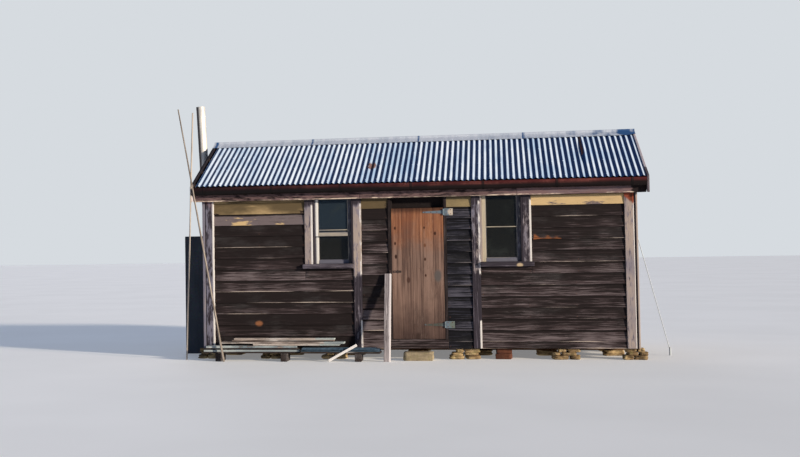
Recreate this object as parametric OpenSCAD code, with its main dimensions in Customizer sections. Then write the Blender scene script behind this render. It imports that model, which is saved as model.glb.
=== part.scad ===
// Shepherds hut: a timber frame on stones, clad with lapped boards, under a corrugated iron
// gable roof, with a ledged door, two windows and an iron fireplace alcove with its flue.
// Millimetres. The origin is on the ground under the middle of the frame.
// +X runs along the front to its right end, -Y points out of the front, +Z is up.

/* [Frame] */
// Length over the studs
frame_len = 5840; // [5600:10:6400]
// Depth over the studs
frame_dep = 2700; // [2500:10:3000]
// Thickness of studs and plates
stud_w = 50; // [40:1:60]
// Depth of the studs, through the wall
stud_d = 100; // [80:1:115]
// Largest spacing of the studs
stud_gap = 600; // [450:10:750]
// Height of the wall plates' seat under the rafters
birdsmouth = 25; // [10:1:35]

/* [Floor] */
// Height of the lowest board above the ground
base_z = 150; // [130:1:200]
// Height of the joists
joist_h = 100; // [80:1:120]
// Thickness of the joists
joist_w = 50; // [40:1:60]
// Largest spacing of the joists
joist_gap = 450; // [350:10:600]
// Thickness of the floor boards
floor_t = 22; // [18:1:30]
// Height of the bearers
bearer_h = 75; // [50:1:100]
// Width of the bearers
bearer_w = 100; // [80:1:120]

/* [Cladding] */
// Height of one course of lapped board
course = 152; // [140:1:170]
// Height of the lowest course
first_course = 90; // [60:1:120]
// Height of one course left of the left window's batten
left_course = 155; // [140:1:170]
// Height of the lowest course left of the left window's batten
left_first_course = 166; // [60:1:170]
// Thickness of a board at its lower edge
board_butt = 25; // [20:1:30]
// Thickness of a board at its upper edge
board_top = 10; // [6:1:14]
// Thickness of corner boards, window trims and battens
trim_t = 35; // [31:1:45]
// Width of the corner boards
corner_w = 118; // [90:1:140]
// Gap where the two boards of a corner have shrunk apart
corner_gap = 12; // [3:1:20]
// Width of window trims and battens
trim_w = 112; // [80:1:130]

/* [Roof] */
// Pitch of the roof in degrees
roof_pitch = 26; // [22:0.5:30]
// Height of the sheets' lower edge
eave_z = 2410; // [2380:5:2500]
// Distance from the studs to the sheets' lower edge
eave_out = 130; // [115:1:200]
// Distance from the studs to the sheets' ends at the gables
verge_out = 147; // [100:1:200]
// Pitch of the corrugations
corr_pitch = 76.2; // [70:0.1:80]
// Depth of the corrugations
corr_depth = 17; // [12:1:20]
// Corrugations that one sheet covers
corr_cover = 10; // [6:1:12]
// Thickness of the sheet iron
iron_t = 1.2; // [0.8:0.1:1.6]
// Height of the rafters
rafter_h = 100; // [80:1:115]
// Thickness of the rafters
rafter_w = 50; // [40:1:60]
// Largest spacing of the rafters
rafter_gap = 960; // [700:10:1200]
// Height of the purlins
purlin_h = 40; // [30:1:50]
// Width of the purlins
purlin_w = 70; // [50:1:90]
// Largest spacing of the purlins
purlin_gap = 520; // [400:10:600]
// Thickness of the ridge board
ridge_t = 25; // [20:1:32]
// Height of the ridge board
ridge_h = 150; // [110:1:180]
// Width of each wing of the ridge capping
cap_wing = 150; // [110:1:190]
// Outer radius of the ridge capping's roll
cap_roll = 18; // [14:1:24]
// Number of lengths of ridge capping
cap_lengths = 4; // [2:1:6]
// Thickness of the barge boards
barge_t = 32; // [22:1:40]
// Height of the barge boards
barge_h = 200; // [150:1:230]
// Thickness of the fascia boards
fascia_t = 25; // [20:1:30]
// Height of the fascia's lower edge
fascia_z = 2205; // [2190:1:2230]

/* [Gutter] */
// Width of the gutter
gutter_w = 110; // [90:1:130]
// Height of the gutter
gutter_h = 105; // [80:1:120]
// Wall of the gutter
gutter_t = 2; // [1.5:0.1:3]
// Number of gutter brackets
gutter_brackets_n = 7; // [4:1:10]

/* [Door] */
// Middle of the door along the front
door_x = 59.5; // [0:0.5:100]
// Width of the door
door_w = 705; // [640:1:760]
// Height of the door
door_h = 1782; // [1700:1:1820]
// Thickness of the door's boards
door_t = 25; // [20:1:30]
// Number of boards in the door
door_boards_n = 5; // [4:1:7]
// Height of the door's ledges
ledge_h = 110; // [80:1:140]
// Thickness of the door's ledges
ledge_t = 25; // [18:1:30]
// Thickness of the door jambs
jamb_t = 40; // [32:1:50]
// How far the jambs stand out from the studs
jamb_out = 30; // [26:1:40]
// Gap all round the door
door_gap = 5; // [5:0.5:8]
// Length of the hinge straps
strap_len = 270; // [200:5:350]
// Height of the upper hinge above the door's foot
hinge_top = 1722; // [1600:1:1722]
// Height of the lower hinge above the door's foot
hinge_low = 194; // [120:1:300]
// Height of the hasp above the door's foot
hasp_up = 918; // [700:1:1100]

/* [Windows] */
// Middle of the left window
left_window_x = -1100; // [-1300:1:-1000]
// Middle of the right window
right_window_x = 1188; // [1100:1:1400]
// Width between the window linings
window_w = 515; // [450:1:560]
// Top of the sills
sill_z = 1315; // [1200:1:1400]
// Thickness of the sills
sill_t = 65; // [45:1:80]
// How far the sill's nose stands out from the trims
sill_nose = 40; // [20:1:60]
// Thickness of the window linings
lining_t = 25; // [18:1:30]
// Width of the sash members
sash_w = 48; // [35:1:60]
// Thickness of the sashes
sash_t = 35; // [28:1:38]
// Height of the meeting rails above the left window's sill
meeting_up = 405; // [300:1:500]
// Height of the glazing bar above the right window's sill
bar_up = 470; // [350:1:550]

/* [Fireplace] */
// How far the alcove stands out from the studs
alcove_out = 520; // [420:1:600]
// Width of the alcove
alcove_w = 1100; // [900:1:1300]
// Height of the alcove
alcove_h = 1740; // [1600:1:1850]
// Thickness of the alcove's walls
alcove_t = 30; // [20:1:40]
// Height of the fireplace's head in the wall
hearth_head = 1450; // [1300:1:1500]
// Outer diameter of the flue
flue_d = 140; // [110:1:170]
// Height of the flue above the alcove
flue_h = 2000; // [1600:10:2200]
// Lean of the flue away from the hut, in degrees
flue_lean = 2.8; // [0:0.1:4]

/* [Poles and stay] */
// Height of the aerial pole's top
aerial_top = 3460; // [3300:10:3600]
// Height of the leaning pole's top
leaning_top = 3520; // [3350:10:3650]
// How far the leaning pole's foot stands out in front of the gutter
leaning_out = 245; // [200:5:300]
// How far the leaning pole's foot stands in from the frame's left end
leaning_in = 350; // [250:10:450]
// How far the right stay's peg stands out from its eye
stay_out = 470; // [350:10:600]

/* [Hidden] */

// Clearance between pieces that seat on each other without touching
seat = 0.3;
half_len = frame_len / 2;
half_dep = frame_dep / 2;
floor_z = base_z + joist_h + floor_t;
room_half_len = half_len - stud_d;
room_half_dep = half_dep - stud_d;

// Roof lines, measured from the sheets' underside
roof_run = half_dep + eave_out;
barge_x = half_len + verge_out + 3;
roof_right = half_len + verge_out;
roof_left = -roof_right + corr_pitch / 2;
over_rafters = purlin_h + 2 * seat;
under_rafters = over_rafters + rafter_h;
lap_lift = iron_t + seat;
sheet_cover = corr_cover * corr_pitch;
sheet_w = (corr_cover + 0.5) * corr_pitch;
crest_top = corr_depth + lap_lift * (sheet_w / sheet_cover) + iron_t;
slope_len = (roof_run - 15) / cos(roof_pitch);
fascia_y = roof_run - 35 - fascia_t;
function roof_z(y, down) = eave_z + (roof_run - abs(y)) * tan(roof_pitch) - down / cos(roof_pitch);
ridge_foot = roof_z(ridge_t / 2, over_rafters) - ridge_h;
plate_top = floor(roof_z(half_dep, under_rafters)) + birdsmouth;
plate_z = plate_top - stud_w;
front_top = floor(roof_z(half_dep + trim_t, under_rafters)) - 2;
// The window linings reach up to the wall plate
window_top = plate_z - lining_t;

// Door lines
door_z = floor_z + door_gap;
door_left = door_x - door_w / 2;
door_right = door_x + door_w / 2;
doorway_left = door_left - door_gap;
doorway_right = door_right + door_gap;
door_face = -(half_dep + jamb_out);
hinge_x = door_right + door_gap / 2;
hinge_y = door_face - 10;
knuckle_r = 8;
pin_r = 4;
hinge_leaf = 4;

// Colours
weathered = "#6b615c";
pale_wood = "#b9aaa4";
iron = "#a9b4bd";
stone = "#a79f90";
inside_wood = "#8d7459";

// A row of evenly spaced places from a to b, no further apart than gap
function places(a, b, gap) = let (n = ceil((b - a) / gap)) [for (i = [0:n]) a + (b - a) * i / n];

// A wall's studs, plates and nogs, from x0 to x1 in the plane of its thickness, with openings
// given as [left, right, bottom, top]
module wall_frame(x0, x1, z0, z1, openings) {
    difference() {
        union() {
            translate([x0, 0, z0]) cube([x1 - x0, stud_d, stud_w]);
            for (x = places(x0 + stud_w / 2, x1 - stud_w / 2, stud_gap))
                translate([x - stud_w / 2, 0, z0]) cube([stud_w, stud_d, z1 - z0]);
            translate([x0, 0, (z0 + z1) / 2]) cube([x1 - x0, stud_d, stud_w]);
        }
        for (o = openings)
            translate([o[0], -1, o[2]]) cube([o[1] - o[0], stud_d + 2, o[3] - o[2]]);
    }
    for (o = openings) {
        for (x = [o[0] - stud_w, o[1]])
            translate([x, 0, z0]) cube([stud_w, stud_d, z1 - z0]);
        if (o[2] > z0)
            translate([o[0] - 1, 0, o[2] - stud_w]) cube([o[1] - o[0] + 2, stud_d, stud_w]);
        if (o[3] < z1)
            translate([o[0] - 1, 0, o[3]]) cube([o[1] - o[0] + 2, stud_d, min(2 * stud_w, z1 - o[3])]);
    }
}

function window_rough(x) = [x - window_w / 2 - lining_t, x + window_w / 2 + lining_t,
    sill_z - sill_t, window_top + lining_t];

module front_wall_frame_left() {
    color(inside_wood) translate([0, -half_dep, 0])
        wall_frame(-half_len, doorway_left - jamb_t, floor_z, plate_z, [window_rough(left_window_x)]);
}

module front_wall_frame_right() {
    color(inside_wood) translate([0, -half_dep, 0])
        wall_frame(doorway_right + jamb_t, half_len, floor_z, plate_z, [window_rough(right_window_x)]);
}

module back_wall_frame() {
    color(inside_wood) translate([0, room_half_dep, 0])
        wall_frame(-half_len, half_len, floor_z, plate_z, []);
}

// The space under the rafters, over the whole length
module under_roof(down) {
    translate([-barge_x, 0, 0]) rotate([90, 0, 90]) linear_extrude(2 * barge_x)
        polygon([[-roof_run, 0], [roof_run, 0], [roof_run, roof_z(roof_run, down)],
            [0, roof_z(0, down)], [-roof_run, roof_z(roof_run, down)]]);
}

// An end wall's frame, as wide as the room, with its studs cut to the rafters
module end_frame(openings) {
    intersection() {
        translate([-half_len, 0, 0]) rotate([0, 0, 90]) mirror([0, 1, 0])
            wall_frame(-room_half_dep, room_half_dep, floor_z, roof_z(0, 0), openings);
        under_roof(under_rafters);
    }
}

module left_wall_frame() {
    color(inside_wood)
        end_frame([[-alcove_w / 2 + 2 * alcove_t, alcove_w / 2 - 2 * alcove_t, 0, hearth_head]]);
}

module right_wall_frame() {
    color(inside_wood) mirror([1, 0, 0]) end_frame([]);
}

module top_plates() {
    color(inside_wood) for (y = [-half_dep, room_half_dep])
        translate([-half_len, y, plate_z]) cube([frame_len, stud_d, stud_w]);
}

// Floor

module floor_joists() {
    color(inside_wood) for (x = joist_places)
        translate([x - joist_w / 2, -half_dep, base_z]) cube([joist_w, frame_dep, joist_h]);
}
joist_places = places(-half_len + joist_w / 2, half_len - joist_w / 2, joist_gap);

module floor_bearers() {
    color(inside_wood) for (row = [-1:1])
        translate([-half_len, row * half_dep / 2 - bearer_w / 2, base_z - bearer_h])
            cube([frame_len, bearer_w, bearer_h]);
}

module floor_boards() {
    color(inside_wood) translate([-half_len, -half_dep, base_z + joist_h])
        cube([frame_len, frame_dep, floor_t]);
}

// A flat stone with seven uneven sides, about w by d
module flat_stone(w, d, h, turn) {
    linear_extrude(h) polygon([for (i = [0:6])
        let (a = turn + i * 360 / 7, k = 1 - 0.14 * (1 + sin(3.7 * a)) / 2)
        [w / 2 * k * cos(a), d / 2 * k * sin(a)]]);
}

// A pier of two stones under the edge of the floor
module pier(w, turn) {
    flat_stone(w, pier_d, base_z * 0.55, turn);
    flat_stone(w * 0.8, pier_d * 0.85, base_z, turn + 40);
}
pier_d = 240;
// Joists that stand on a pier along the front: their number from the left and the pier's width
front_piers = [[0, 330], [2, 300], [4, 360], [8, 430], [11, 380], [13, 330]];

module foundation_stones() {
    last = len(joist_places) - 1;
    edge = half_dep - pier_d / 2 + board_butt;
    color(stone) {
        for (p = front_piers)
            translate([joist_places[min(p[0], last)], -edge, 0]) pier(p[1], 20 * p[0]);
        for (i = [0:2:last])
            translate([joist_places[i], edge, 0]) pier(330, 35 * i);
        for (i = [-3:3], row = [-1:1])
            translate([i * (half_len - 250) / 3, row * half_dep / 2, 0])
                flat_stone(300, 260, base_z - bearer_h, 25 * i + 70 * row);
    }
    color("#9a5a46") translate([joist_places[min(9, last)] - 40, -edge - 70, 0])
        cube([230, 160, base_z]);
}

module door_step() {
    color("#b8b39f") translate([door_x - 223, -half_dep - 250, 0]) cube([440, 200, 115]);
}

// Lapped boards: a wall of courses from base_z to top, the lowest one first high and the others
// step high, drawn from x0 to x1 with their flat backs on the plane y = 0 and their faces
// towards -y
courses = ceil((roof_z(0, 0) - base_z) / course);
function course_z(i, first, step) = i == 0 ? base_z : base_z + first + (i - 1) * step;
module lapped_boards(x0, x1, top, first, step) {
    translate([x0, 0, 0]) rotate([90, 0, 90]) linear_extrude(x1 - x0)
        polygon(concat([[0, base_z]],
            [for (i = [0:courses]) if (course_z(i, first, step) < top) each [
                [-board_butt, course_z(i, first, step)],
                [-board_top, min(top, course_z(i + 1, first, step))]]],
            [[0, top]]));
}

board_x = half_len - corner_gap - corner_w;
function window_left(x) = window_rough(x)[0];
function window_right(x) = window_rough(x)[1];

module front_boards_left() {
    color(weathered) translate([0, -half_dep, 0]) difference() {
        lapped_boards(-board_x, window_right(left_window_x), front_top, left_first_course, left_course);
        translate([window_left(left_window_x) - trim_w, -trim_t, sill_z - sill_t])
            cube([2 * frame_len, 2 * trim_t, frame_len]);
    }
}

module front_boards_by_door() {
    color(weathered) translate([0, -half_dep, 0]) {
        lapped_boards(window_right(left_window_x) + trim_w, doorway_left - jamb_t, front_top,
            first_course, course);
        lapped_boards(doorway_right + jamb_t, window_left(right_window_x) - trim_w, front_top,
            first_course, course);
    }
}

module front_boards_right() {
    color(weathered) translate([0, -half_dep, 0]) difference() {
        lapped_boards(window_left(right_window_x), board_x, front_top, first_course, course);
        translate([window_right(right_window_x) + trim_w - 2 * frame_len, -trim_t, sill_z - sill_t])
            cube([2 * frame_len, 2 * trim_t, frame_len]);
    }
}

module back_boards() {
    color(weathered) mirror([0, 1, 0]) translate([0, -half_dep, 0])
        lapped_boards(-board_x, board_x, front_top, first_course, course);
}

// The boards of an end wall, up to the top of the rafters
module gable_boards() {
    edge = half_dep + trim_t - corner_w;
    notch_w = ridge_t + 4;
    difference() {
        intersection() {
            translate([-half_len, 0, 0]) rotate([0, 0, -90])
                lapped_boards(-edge, edge, roof_z(0, 0), first_course, course);
            under_roof(purlin_h + 2);
        }
        translate([-half_len - trim_t, -notch_w / 2, ridge_foot - 2])
            cube([2 * trim_t, notch_w, 2 * ridge_h]);
    }
}

module left_boards() {
    color(weathered) difference() {
        gable_boards();
        translate([-half_len - alcove_out, -alcove_w / 2, 0])
            cube([2 * alcove_out, alcove_w, alcove_h]);
    }
}

module right_boards() {
    color(weathered) mirror([1, 0, 0]) gable_boards();
}

module corner_boards() {
    side_top = roof_z(half_dep + trim_t, purlin_h) - 2;
    color(pale_wood) for (mx = [0, 1], my = [0, 1]) mirror([mx, 0, 0]) mirror([0, my, 0]) {
        translate([board_x, -half_dep - trim_t, base_z])
            cube([corner_w, trim_t, front_top - base_z]);
        translate([half_len, -half_dep - trim_t, base_z])
            cube([trim_t, corner_w, side_top - base_z]);
    }
}

module cover_battens() {
    color(pale_wood) for (x = [window_right(left_window_x), window_left(right_window_x) - trim_w])
        translate([x, -half_dep - trim_t, base_z]) cube([trim_w, trim_t, front_top - base_z]);
}

// Windows

// A window's lining, sill and the trim on its free side, which is to the right when side is 1
module window_frame(x, side) {
    left = window_left(x);
    wide = window_w + 2 * lining_t;
    deep = stud_d + trim_t;
    color(pale_wood) translate([0, -half_dep - trim_t, 0]) {
        difference() {
            translate([left, 0, sill_z - sill_t])
                cube([wide, deep, window_top + lining_t - sill_z + sill_t]);
            translate([left + lining_t, -1, sill_z])
                cube([window_w, deep + 2, window_top - sill_z]);
        }
        translate([side > 0 ? left + wide : left - trim_w, 0, sill_z - sill_t])
            cube([trim_w, trim_t, front_top - sill_z + sill_t]);
        translate([side > 0 ? left : left - trim_w - 30, -sill_nose, sill_z - sill_t])
            cube([wide + trim_w + 30, sill_nose, sill_t]);
    }
}

// One sash: its four members round the glass, which is sight wide and high
module sash(x, y, z, h) {
    w = window_w - 2 * seat;
    translate([x - w / 2, y, z]) difference() {
        cube([w, sash_t, h]);
        translate([sash_w, -1, sash_w]) cube([w - 2 * sash_w, sash_t + 2, h - 2 * sash_w]);
    }
}

module pane(x, y, z, h) {
    w = window_w - 2 * sash_w - 4 * seat;
    translate([x - w / 2, y + sash_t / 2 - 2, z + sash_w + seat])
        cube([w, 4, h - 2 * sash_w - 2 * seat]);
}

outer_sash_y = -half_dep - 5;
inner_sash_y = outer_sash_y + sash_t + 2 * seat;
upper_z = sill_z + meeting_up - sash_w / 2;
upper_h = window_top - upper_z - seat;
lower_h = meeting_up + sash_w / 2;
whole_h = window_top - sill_z - seat;

module left_window_frame() {
    window_frame(left_window_x, -1);
}

module left_window_sashes() {
    color("#cfc6b0") {
        sash(left_window_x, outer_sash_y, upper_z, upper_h);
        sash(left_window_x, inner_sash_y, sill_z, lower_h);
    }
}

module left_window_glass() {
    color("#8fa0a8", 0.5) {
        pane(left_window_x, outer_sash_y, upper_z, upper_h);
        pane(left_window_x, inner_sash_y, sill_z, lower_h);
    }
}

module right_window_frame() {
    window_frame(right_window_x, 1);
}

module right_window_sash() {
    color("#cfc6b0") {
        sash(right_window_x, outer_sash_y, sill_z, whole_h);
        translate([right_window_x - window_w / 2 + sash_w, outer_sash_y, sill_z + bar_up - 10])
            cube([window_w - 2 * sash_w, sash_t, 20]);
    }
}

module right_window_glass() {
    glass_h = bar_up - 10 - sash_w - 2 * seat;
    w = window_w - 2 * sash_w - 4 * seat;
    color("#8fa0a8", 0.5) translate([right_window_x - w / 2, outer_sash_y + sash_t / 2 - 2, 0]) {
        translate([0, 0, sill_z + sash_w + seat]) cube([w, 4, glass_h]);
        translate([0, 0, sill_z + bar_up + 10 + seat])
            cube([w, 4, whole_h - sash_w - bar_up - 10 - 2 * seat]);
    }
}

// Door

module door_frame() {
    deep = stud_d + jamb_out;
    stop = 15;
    head_z = door_z + door_h + door_gap;
    color(inside_wood) translate([0, door_face, 0]) {
        for (x = [doorway_left - jamb_t, doorway_right])
            translate([x, 0, floor_z]) cube([jamb_t, deep, plate_z - floor_z]);
        translate([doorway_left, deep - jamb_t, head_z])
            cube([doorway_right - doorway_left, jamb_t, plate_z - head_z]);
        for (x = [doorway_left, doorway_right - stop])
            translate([x, door_t + door_gap, floor_z]) cube([stop, 20, plate_z - floor_z]);
    }
}

module threshold_board() {
    color(weathered) translate([doorway_left - jamb_t, door_face, base_z])
        cube([doorway_right - doorway_left + 2 * jamb_t, jamb_out, floor_z - base_z]);
}

module door_boards() {
    joint = 2;
    w = (door_w - (door_boards_n - 1) * joint) / door_boards_n;
    color("#a5714f") for (i = [0:door_boards_n - 1])
        translate([door_left + i * (w + joint), door_face, door_z]) cube([w, door_t, door_h]);
}

module door_ledges() {
    inset = 45;
    color("#8a5f43") for (z = [hinge_low, (hinge_low + hinge_top) / 2, hinge_top])
        translate([door_left + inset, door_face + door_t, door_z + z - ledge_h / 2])
            cube([door_w - 2 * inset, ledge_t, ledge_h]);
}

// The middle knuckle and its tapered strap, with the hinge's axis on z
module strap() {
    knuckle = 30;
    difference() {
        union() {
            translate([0, 0, -knuckle / 2]) cylinder(r = knuckle_r, h = knuckle, $fn = 32);
            translate([-14, 10 - hinge_leaf, -knuckle / 2]) cube([12, hinge_leaf, knuckle]);
            rotate([-90, 0, 0]) translate([0, 0, 10 - hinge_leaf]) linear_extrude(hinge_leaf)
                polygon([[-12, -24], [-12, 24], [-40, 20], [-strap_len, 9], [-strap_len - 8, 0],
                    [-strap_len, -9], [-40, -20]]);
        }
        translate([0, 0, -knuckle]) cylinder(r = pin_r + 0.08, h = 2 * knuckle, $fn = 32);
    }
}

module hinge_straps() {
    color(iron) for (z = [hinge_low, hinge_top])
        translate([hinge_x, hinge_y, door_z + z]) strap();
}

// The wall's plate with its two knuckles and the pin
module hinge_plate() {
    half = 42;
    low = 16;
    color(iron) {
        translate([0, 0, -half]) cylinder(r = pin_r, h = 2 * half, $fn = 32);
        for (s = [0, 1]) mirror([0, 0, s]) {
            translate([0, 0, low]) cylinder(r = knuckle_r, h = half - low, $fn = 32);
            translate([2, 10 - hinge_leaf, low]) cube([12, hinge_leaf, half - low]);
        }
        translate([11, 10 - hinge_leaf, -half - 5]) cube([120, hinge_leaf, 2 * half + 10]);
    }
}

module hinge_plates() {
    for (z = [hinge_low, hinge_top])
        translate([hinge_x, hinge_y, door_z + z]) hinge_plate();
}

// A hasp folded back on the door, with its slot
module door_hasp() {
    color("#5a4a42") translate([door_left + 14, door_face - 3, door_z + hasp_up - 15]) difference() {
        union() {
            cube([116, 3, 30]);
            translate([60, 0, -8]) cube([12, 3, 46]);
        }
        translate([14, -1, 11]) cube([26, 5, 8]);
    }
}

module hasp_staple() {
    color("#5a4a42") translate([doorway_left - jamb_t / 2, door_face, door_z + hasp_up]) {
        translate([-14, -3, -22]) cube([28, 3, 44]);
        rotate([90, 0, 0]) rotate([0, 90, 0]) translate([0, 0, -3]) intersection() {
            difference() {
                cylinder(r = 16, h = 6, $fn = 32);
                translate([0, 0, -1]) cylinder(r = 10, h = 8, $fn = 32);
            }
            translate([-40, -20, -1]) cube([40, 40, 8]);
        }
    }
}

// Roof

// Distance of the lowest and highest purlins from the sheets' ends
purlin_edge = 50;

// The front slope: x along the hut, y up the slope from the sheets' lower edge, z out of it
module front_slope() {
    translate([0, -roof_run, eave_z]) rotate([roof_pitch, 0, 0]) children();
}

// A pair of rafters in the plane of the gable, with a tie between them unless they end the roof
module rafter_pair(tied) {
    tail = fascia_y;
    tie_z = plate_top + 160;
    tie_h = 90;
    function y_at(z) = roof_run - (z - eave_z + under_rafters / 2 / cos(roof_pitch)) / tan(roof_pitch);
    rotate([90, 0, 90]) linear_extrude(rafter_w) {
        for (side = [-1, 1])
            polygon([[side * tail, roof_z(tail, under_rafters)],
                [side * tail, roof_z(tail, over_rafters)],
                [side * ridge_t / 2, roof_z(ridge_t / 2, over_rafters)],
                [side * ridge_t / 2, roof_z(ridge_t / 2, under_rafters)]]);
        if (tied)
            polygon([[-y_at(tie_z), tie_z], [y_at(tie_z), tie_z],
                [y_at(tie_z + tie_h), tie_z + tie_h], [-y_at(tie_z + tie_h), tie_z + tie_h]]);
    }
}

module rafters() {
    edge = half_len - rafter_w / 2;
    color(inside_wood) difference() {
        for (x = places(-edge, edge, rafter_gap))
            translate([x - rafter_w / 2, 0, 0]) rafter_pair(abs(x) < edge - 1);
        for (y = [-half_dep, room_half_dep])
            translate([-half_len - 1, y, plate_z]) cube([frame_len + 2, stud_d, stud_w]);
    }
}

module ridge_board() {
    color(inside_wood) translate([-barge_x, -ridge_t / 2, ridge_foot])
        cube([2 * barge_x, ridge_t, ridge_h]);
}

module purlins() {
    color(inside_wood) for (side = [0, 1]) mirror([0, side, 0]) front_slope()
        for (y = places(purlin_edge, slope_len - purlin_w - purlin_edge, purlin_gap))
            translate([-barge_x, y, -purlin_h - seat]) cube([2 * barge_x, purlin_w, purlin_h]);
}

// One corrugated sheet: a wave along x, tilted by its own thickness over the width that it
// covers, so that its first edge lies on the last edge of the sheet before it
function wave(u) = corr_depth / 2 * (1 - cos(360 * u / corr_pitch))
    + lap_lift * (sheet_w - u) / sheet_cover;
module corrugated_sheet(w, length) {
    steps = ceil(8 * w / corr_pitch);
    along = [for (k = [0:steps]) min(k * corr_pitch / 8, w)];
    translate([0, length, 0]) rotate([90, 0, 0]) linear_extrude(length)
        polygon(concat([for (u = along) [u, wave(u)]],
            [for (k = [steps:-1:0]) [along[k], wave(along[k]) + iron_t]]));
}

// The sheets stop half a corrugation short of the left barge boards
module roof_sheets() {
    wide = roof_right - roof_left;
    n = ceil((wide - corr_pitch / 2 - 1) / sheet_cover);
    front_slope() for (i = [0:n - 1])
        translate([roof_left + i * sheet_cover, 0, 0])
            corrugated_sheet(min(sheet_w, wide - i * sheet_cover), slope_len);
}

module front_roof_sheets() {
    color(iron) roof_sheets();
}

module back_roof_sheets() {
    color(iron) mirror([0, 1, 0]) roof_sheets();
}

// One length of ridge capping: two wings on the crests and a roll along the top; every second
// length is made larger by the sheet's thickness and laps over its neighbours
module cap_length(x0, x1, lift) {
    apex_z = roof_z(0, -crest_top - seat - lift);
    thick = iron_t / cos(roof_pitch);
    drop = cap_wing * tan(roof_pitch);
    r = cap_roll + lift;
    roll_z = roof_z(0, -crest_top - seat) + cap_roll * 0.6;
    translate([x0, 0, 0]) rotate([90, 0, 90]) linear_extrude(x1 - x0) difference() {
        union() {
            polygon([[0, apex_z], [-cap_wing, apex_z - drop], [-cap_wing, apex_z - drop + thick],
                [0, apex_z + thick], [cap_wing, apex_z - drop + thick], [cap_wing, apex_z - drop]]);
            translate([0, roll_z]) circle(r = r, $fn = 48);
        }
        translate([0, roll_z]) circle(r = r - iron_t, $fn = 48);
        polygon([[0, apex_z], [-cap_wing, apex_z - drop], [-cap_wing, apex_z - 2 * cap_wing],
            [cap_wing, apex_z - 2 * cap_wing], [cap_wing, apex_z - drop]]);
    }
}

module ridge_cap() {
    full = 2 * (barge_x + barge_t);
    step = full / cap_lengths;
    lap = 30;
    color("#b9b2b8") for (i = [0:cap_lengths - 1])
        cap_length(max(-full / 2, -full / 2 + i * step - (i % 2) * lap),
            min(full / 2, -full / 2 + (i + 1) * step + (i % 2) * lap), (i % 2) * lap_lift);
}

// How far the barge boards run past the sheets' lower edge
barge_tail = 20;

// The two barge boards of one gable
module barge_pair() {
    tail = roof_run + barge_tail;
    top = -crest_top;
    translate([barge_x, 0, 0]) rotate([90, 0, 90]) linear_extrude(barge_t)
        for (side = [-1, 1])
            polygon([[side, roof_z(1, top)], [side * tail, roof_z(tail, top)],
                [side * tail, roof_z(tail, top + barge_h)], [side, roof_z(1, top + barge_h)]]);
}

module right_barge_boards() {
    color("#8b8480") barge_pair();
}

module left_barge_boards() {
    color("#8b8480") mirror([1, 0, 0]) barge_pair();
}

module fascia_boards() {
    color("#5c4f50") for (y = [-fascia_y - fascia_t, fascia_y])
        translate([-barge_x, y, fascia_z]) cube([2 * barge_x, fascia_t, eave_z - 10 - fascia_z]);
}

// The gutter's outline, looking along +x, grown outwards by g: a flat back and an ogee front
// that ends in a lip
function gutter_outline(g, top) = concat(
    [[g, top], [g, -gutter_h - g], [-gutter_w * 0.55, -gutter_h - g]],
    [for (k = [1:6]) let (s = k / 6) [-gutter_w * (0.55 + 0.45 * sin(90 * s)) - g * s,
        -gutter_h * (1 - 0.62 * (1 - cos(90 * s))) - g * (1 - s)]],
    [[-gutter_w - g, top]]);

gutter_half = barge_x - 6;
gutter_y = -fascia_y - fascia_t;
gutter_z = eave_z - 10;

module gutter() {
    color("#5e2f2c") translate([0, gutter_y, gutter_z]) difference() {
        translate([-gutter_half, 0, 0]) rotate([90, 0, 90]) linear_extrude(2 * gutter_half)
            polygon(gutter_outline(0, 0));
        translate([-gutter_half + gutter_t, 0, 0]) rotate([90, 0, 90])
            linear_extrude(2 * (gutter_half - gutter_t)) polygon(gutter_outline(-gutter_t, 1));
    }
}

module gutter_brackets() {
    strap_w = 28;
    end = gutter_half - 180;
    color("#6d3a35") translate([0, gutter_y, gutter_z])
        for (x = places(-end, end, 2 * end / (gutter_brackets_n - 1) + 1))
            translate([x - strap_w / 2, 0, 0]) rotate([90, 0, 90]) linear_extrude(strap_w)
                intersection() {
                    difference() {
                        polygon(gutter_outline(seat + 3, 0));
                        polygon(gutter_outline(seat, 1));
                    }
                    translate([-2 * gutter_w, -2 * gutter_h]) square([2 * gutter_w, 2 * gutter_h]);
                }
}

// Fireplace

alcove_x = -half_len - alcove_out;
flue_x = -half_len - 300;

module fireplace_shell() {
    color("#7d8790") difference() {
        translate([alcove_x, -alcove_w / 2, 0]) cube([alcove_out, alcove_w, alcove_h]);
        translate([alcove_x + alcove_t, -alcove_w / 2 + alcove_t, -1])
            cube([alcove_out, alcove_w - 2 * alcove_t, alcove_h - alcove_t + 1]);
        translate([flue_x, 0, alcove_h - 2 * alcove_t])
            cylinder(d = flue_d - 12, h = 3 * alcove_t, $fn = 48);
    }
}

module hearth() {
    color(stone) translate([alcove_x + alcove_t, -alcove_w / 2 + alcove_t, 0])
        cube([alcove_out - alcove_t, alcove_w - 2 * alcove_t, floor_z]);
}

module flue() {
    color("#c9ccd0") intersection() {
        translate([flue_x, 0, alcove_h]) rotate([0, -flue_lean, 0]) translate([0, 0, -100])
            difference() {
                cylinder(d = flue_d, h = flue_h + 100, $fn = 64);
                translate([0, 0, -1]) cylinder(d = flue_d - 5, h = flue_h + 102, $fn = 64);
            }
        translate([flue_x - flue_h / 2, -flue_d, alcove_h]) cube([flue_h, 2 * flue_d, 2 * flue_h]);
    }
}

// Poles, stay and loose timber round the hut

// A round pole from the ground at a to b, with radius r1 at a and r2 at b, sawn off square
module pole(a, b, r1, r2) {
    d = b - a;
    length = norm(d);
    tilt = acos(d[2] / length);
    translate(a + [0, 0, r1 * sin(tilt)]) rotate([0, tilt, atan2(d[1], d[0])])
        cylinder(r1 = r1, r2 = r2, h = length, $fn = 24);
}

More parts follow.
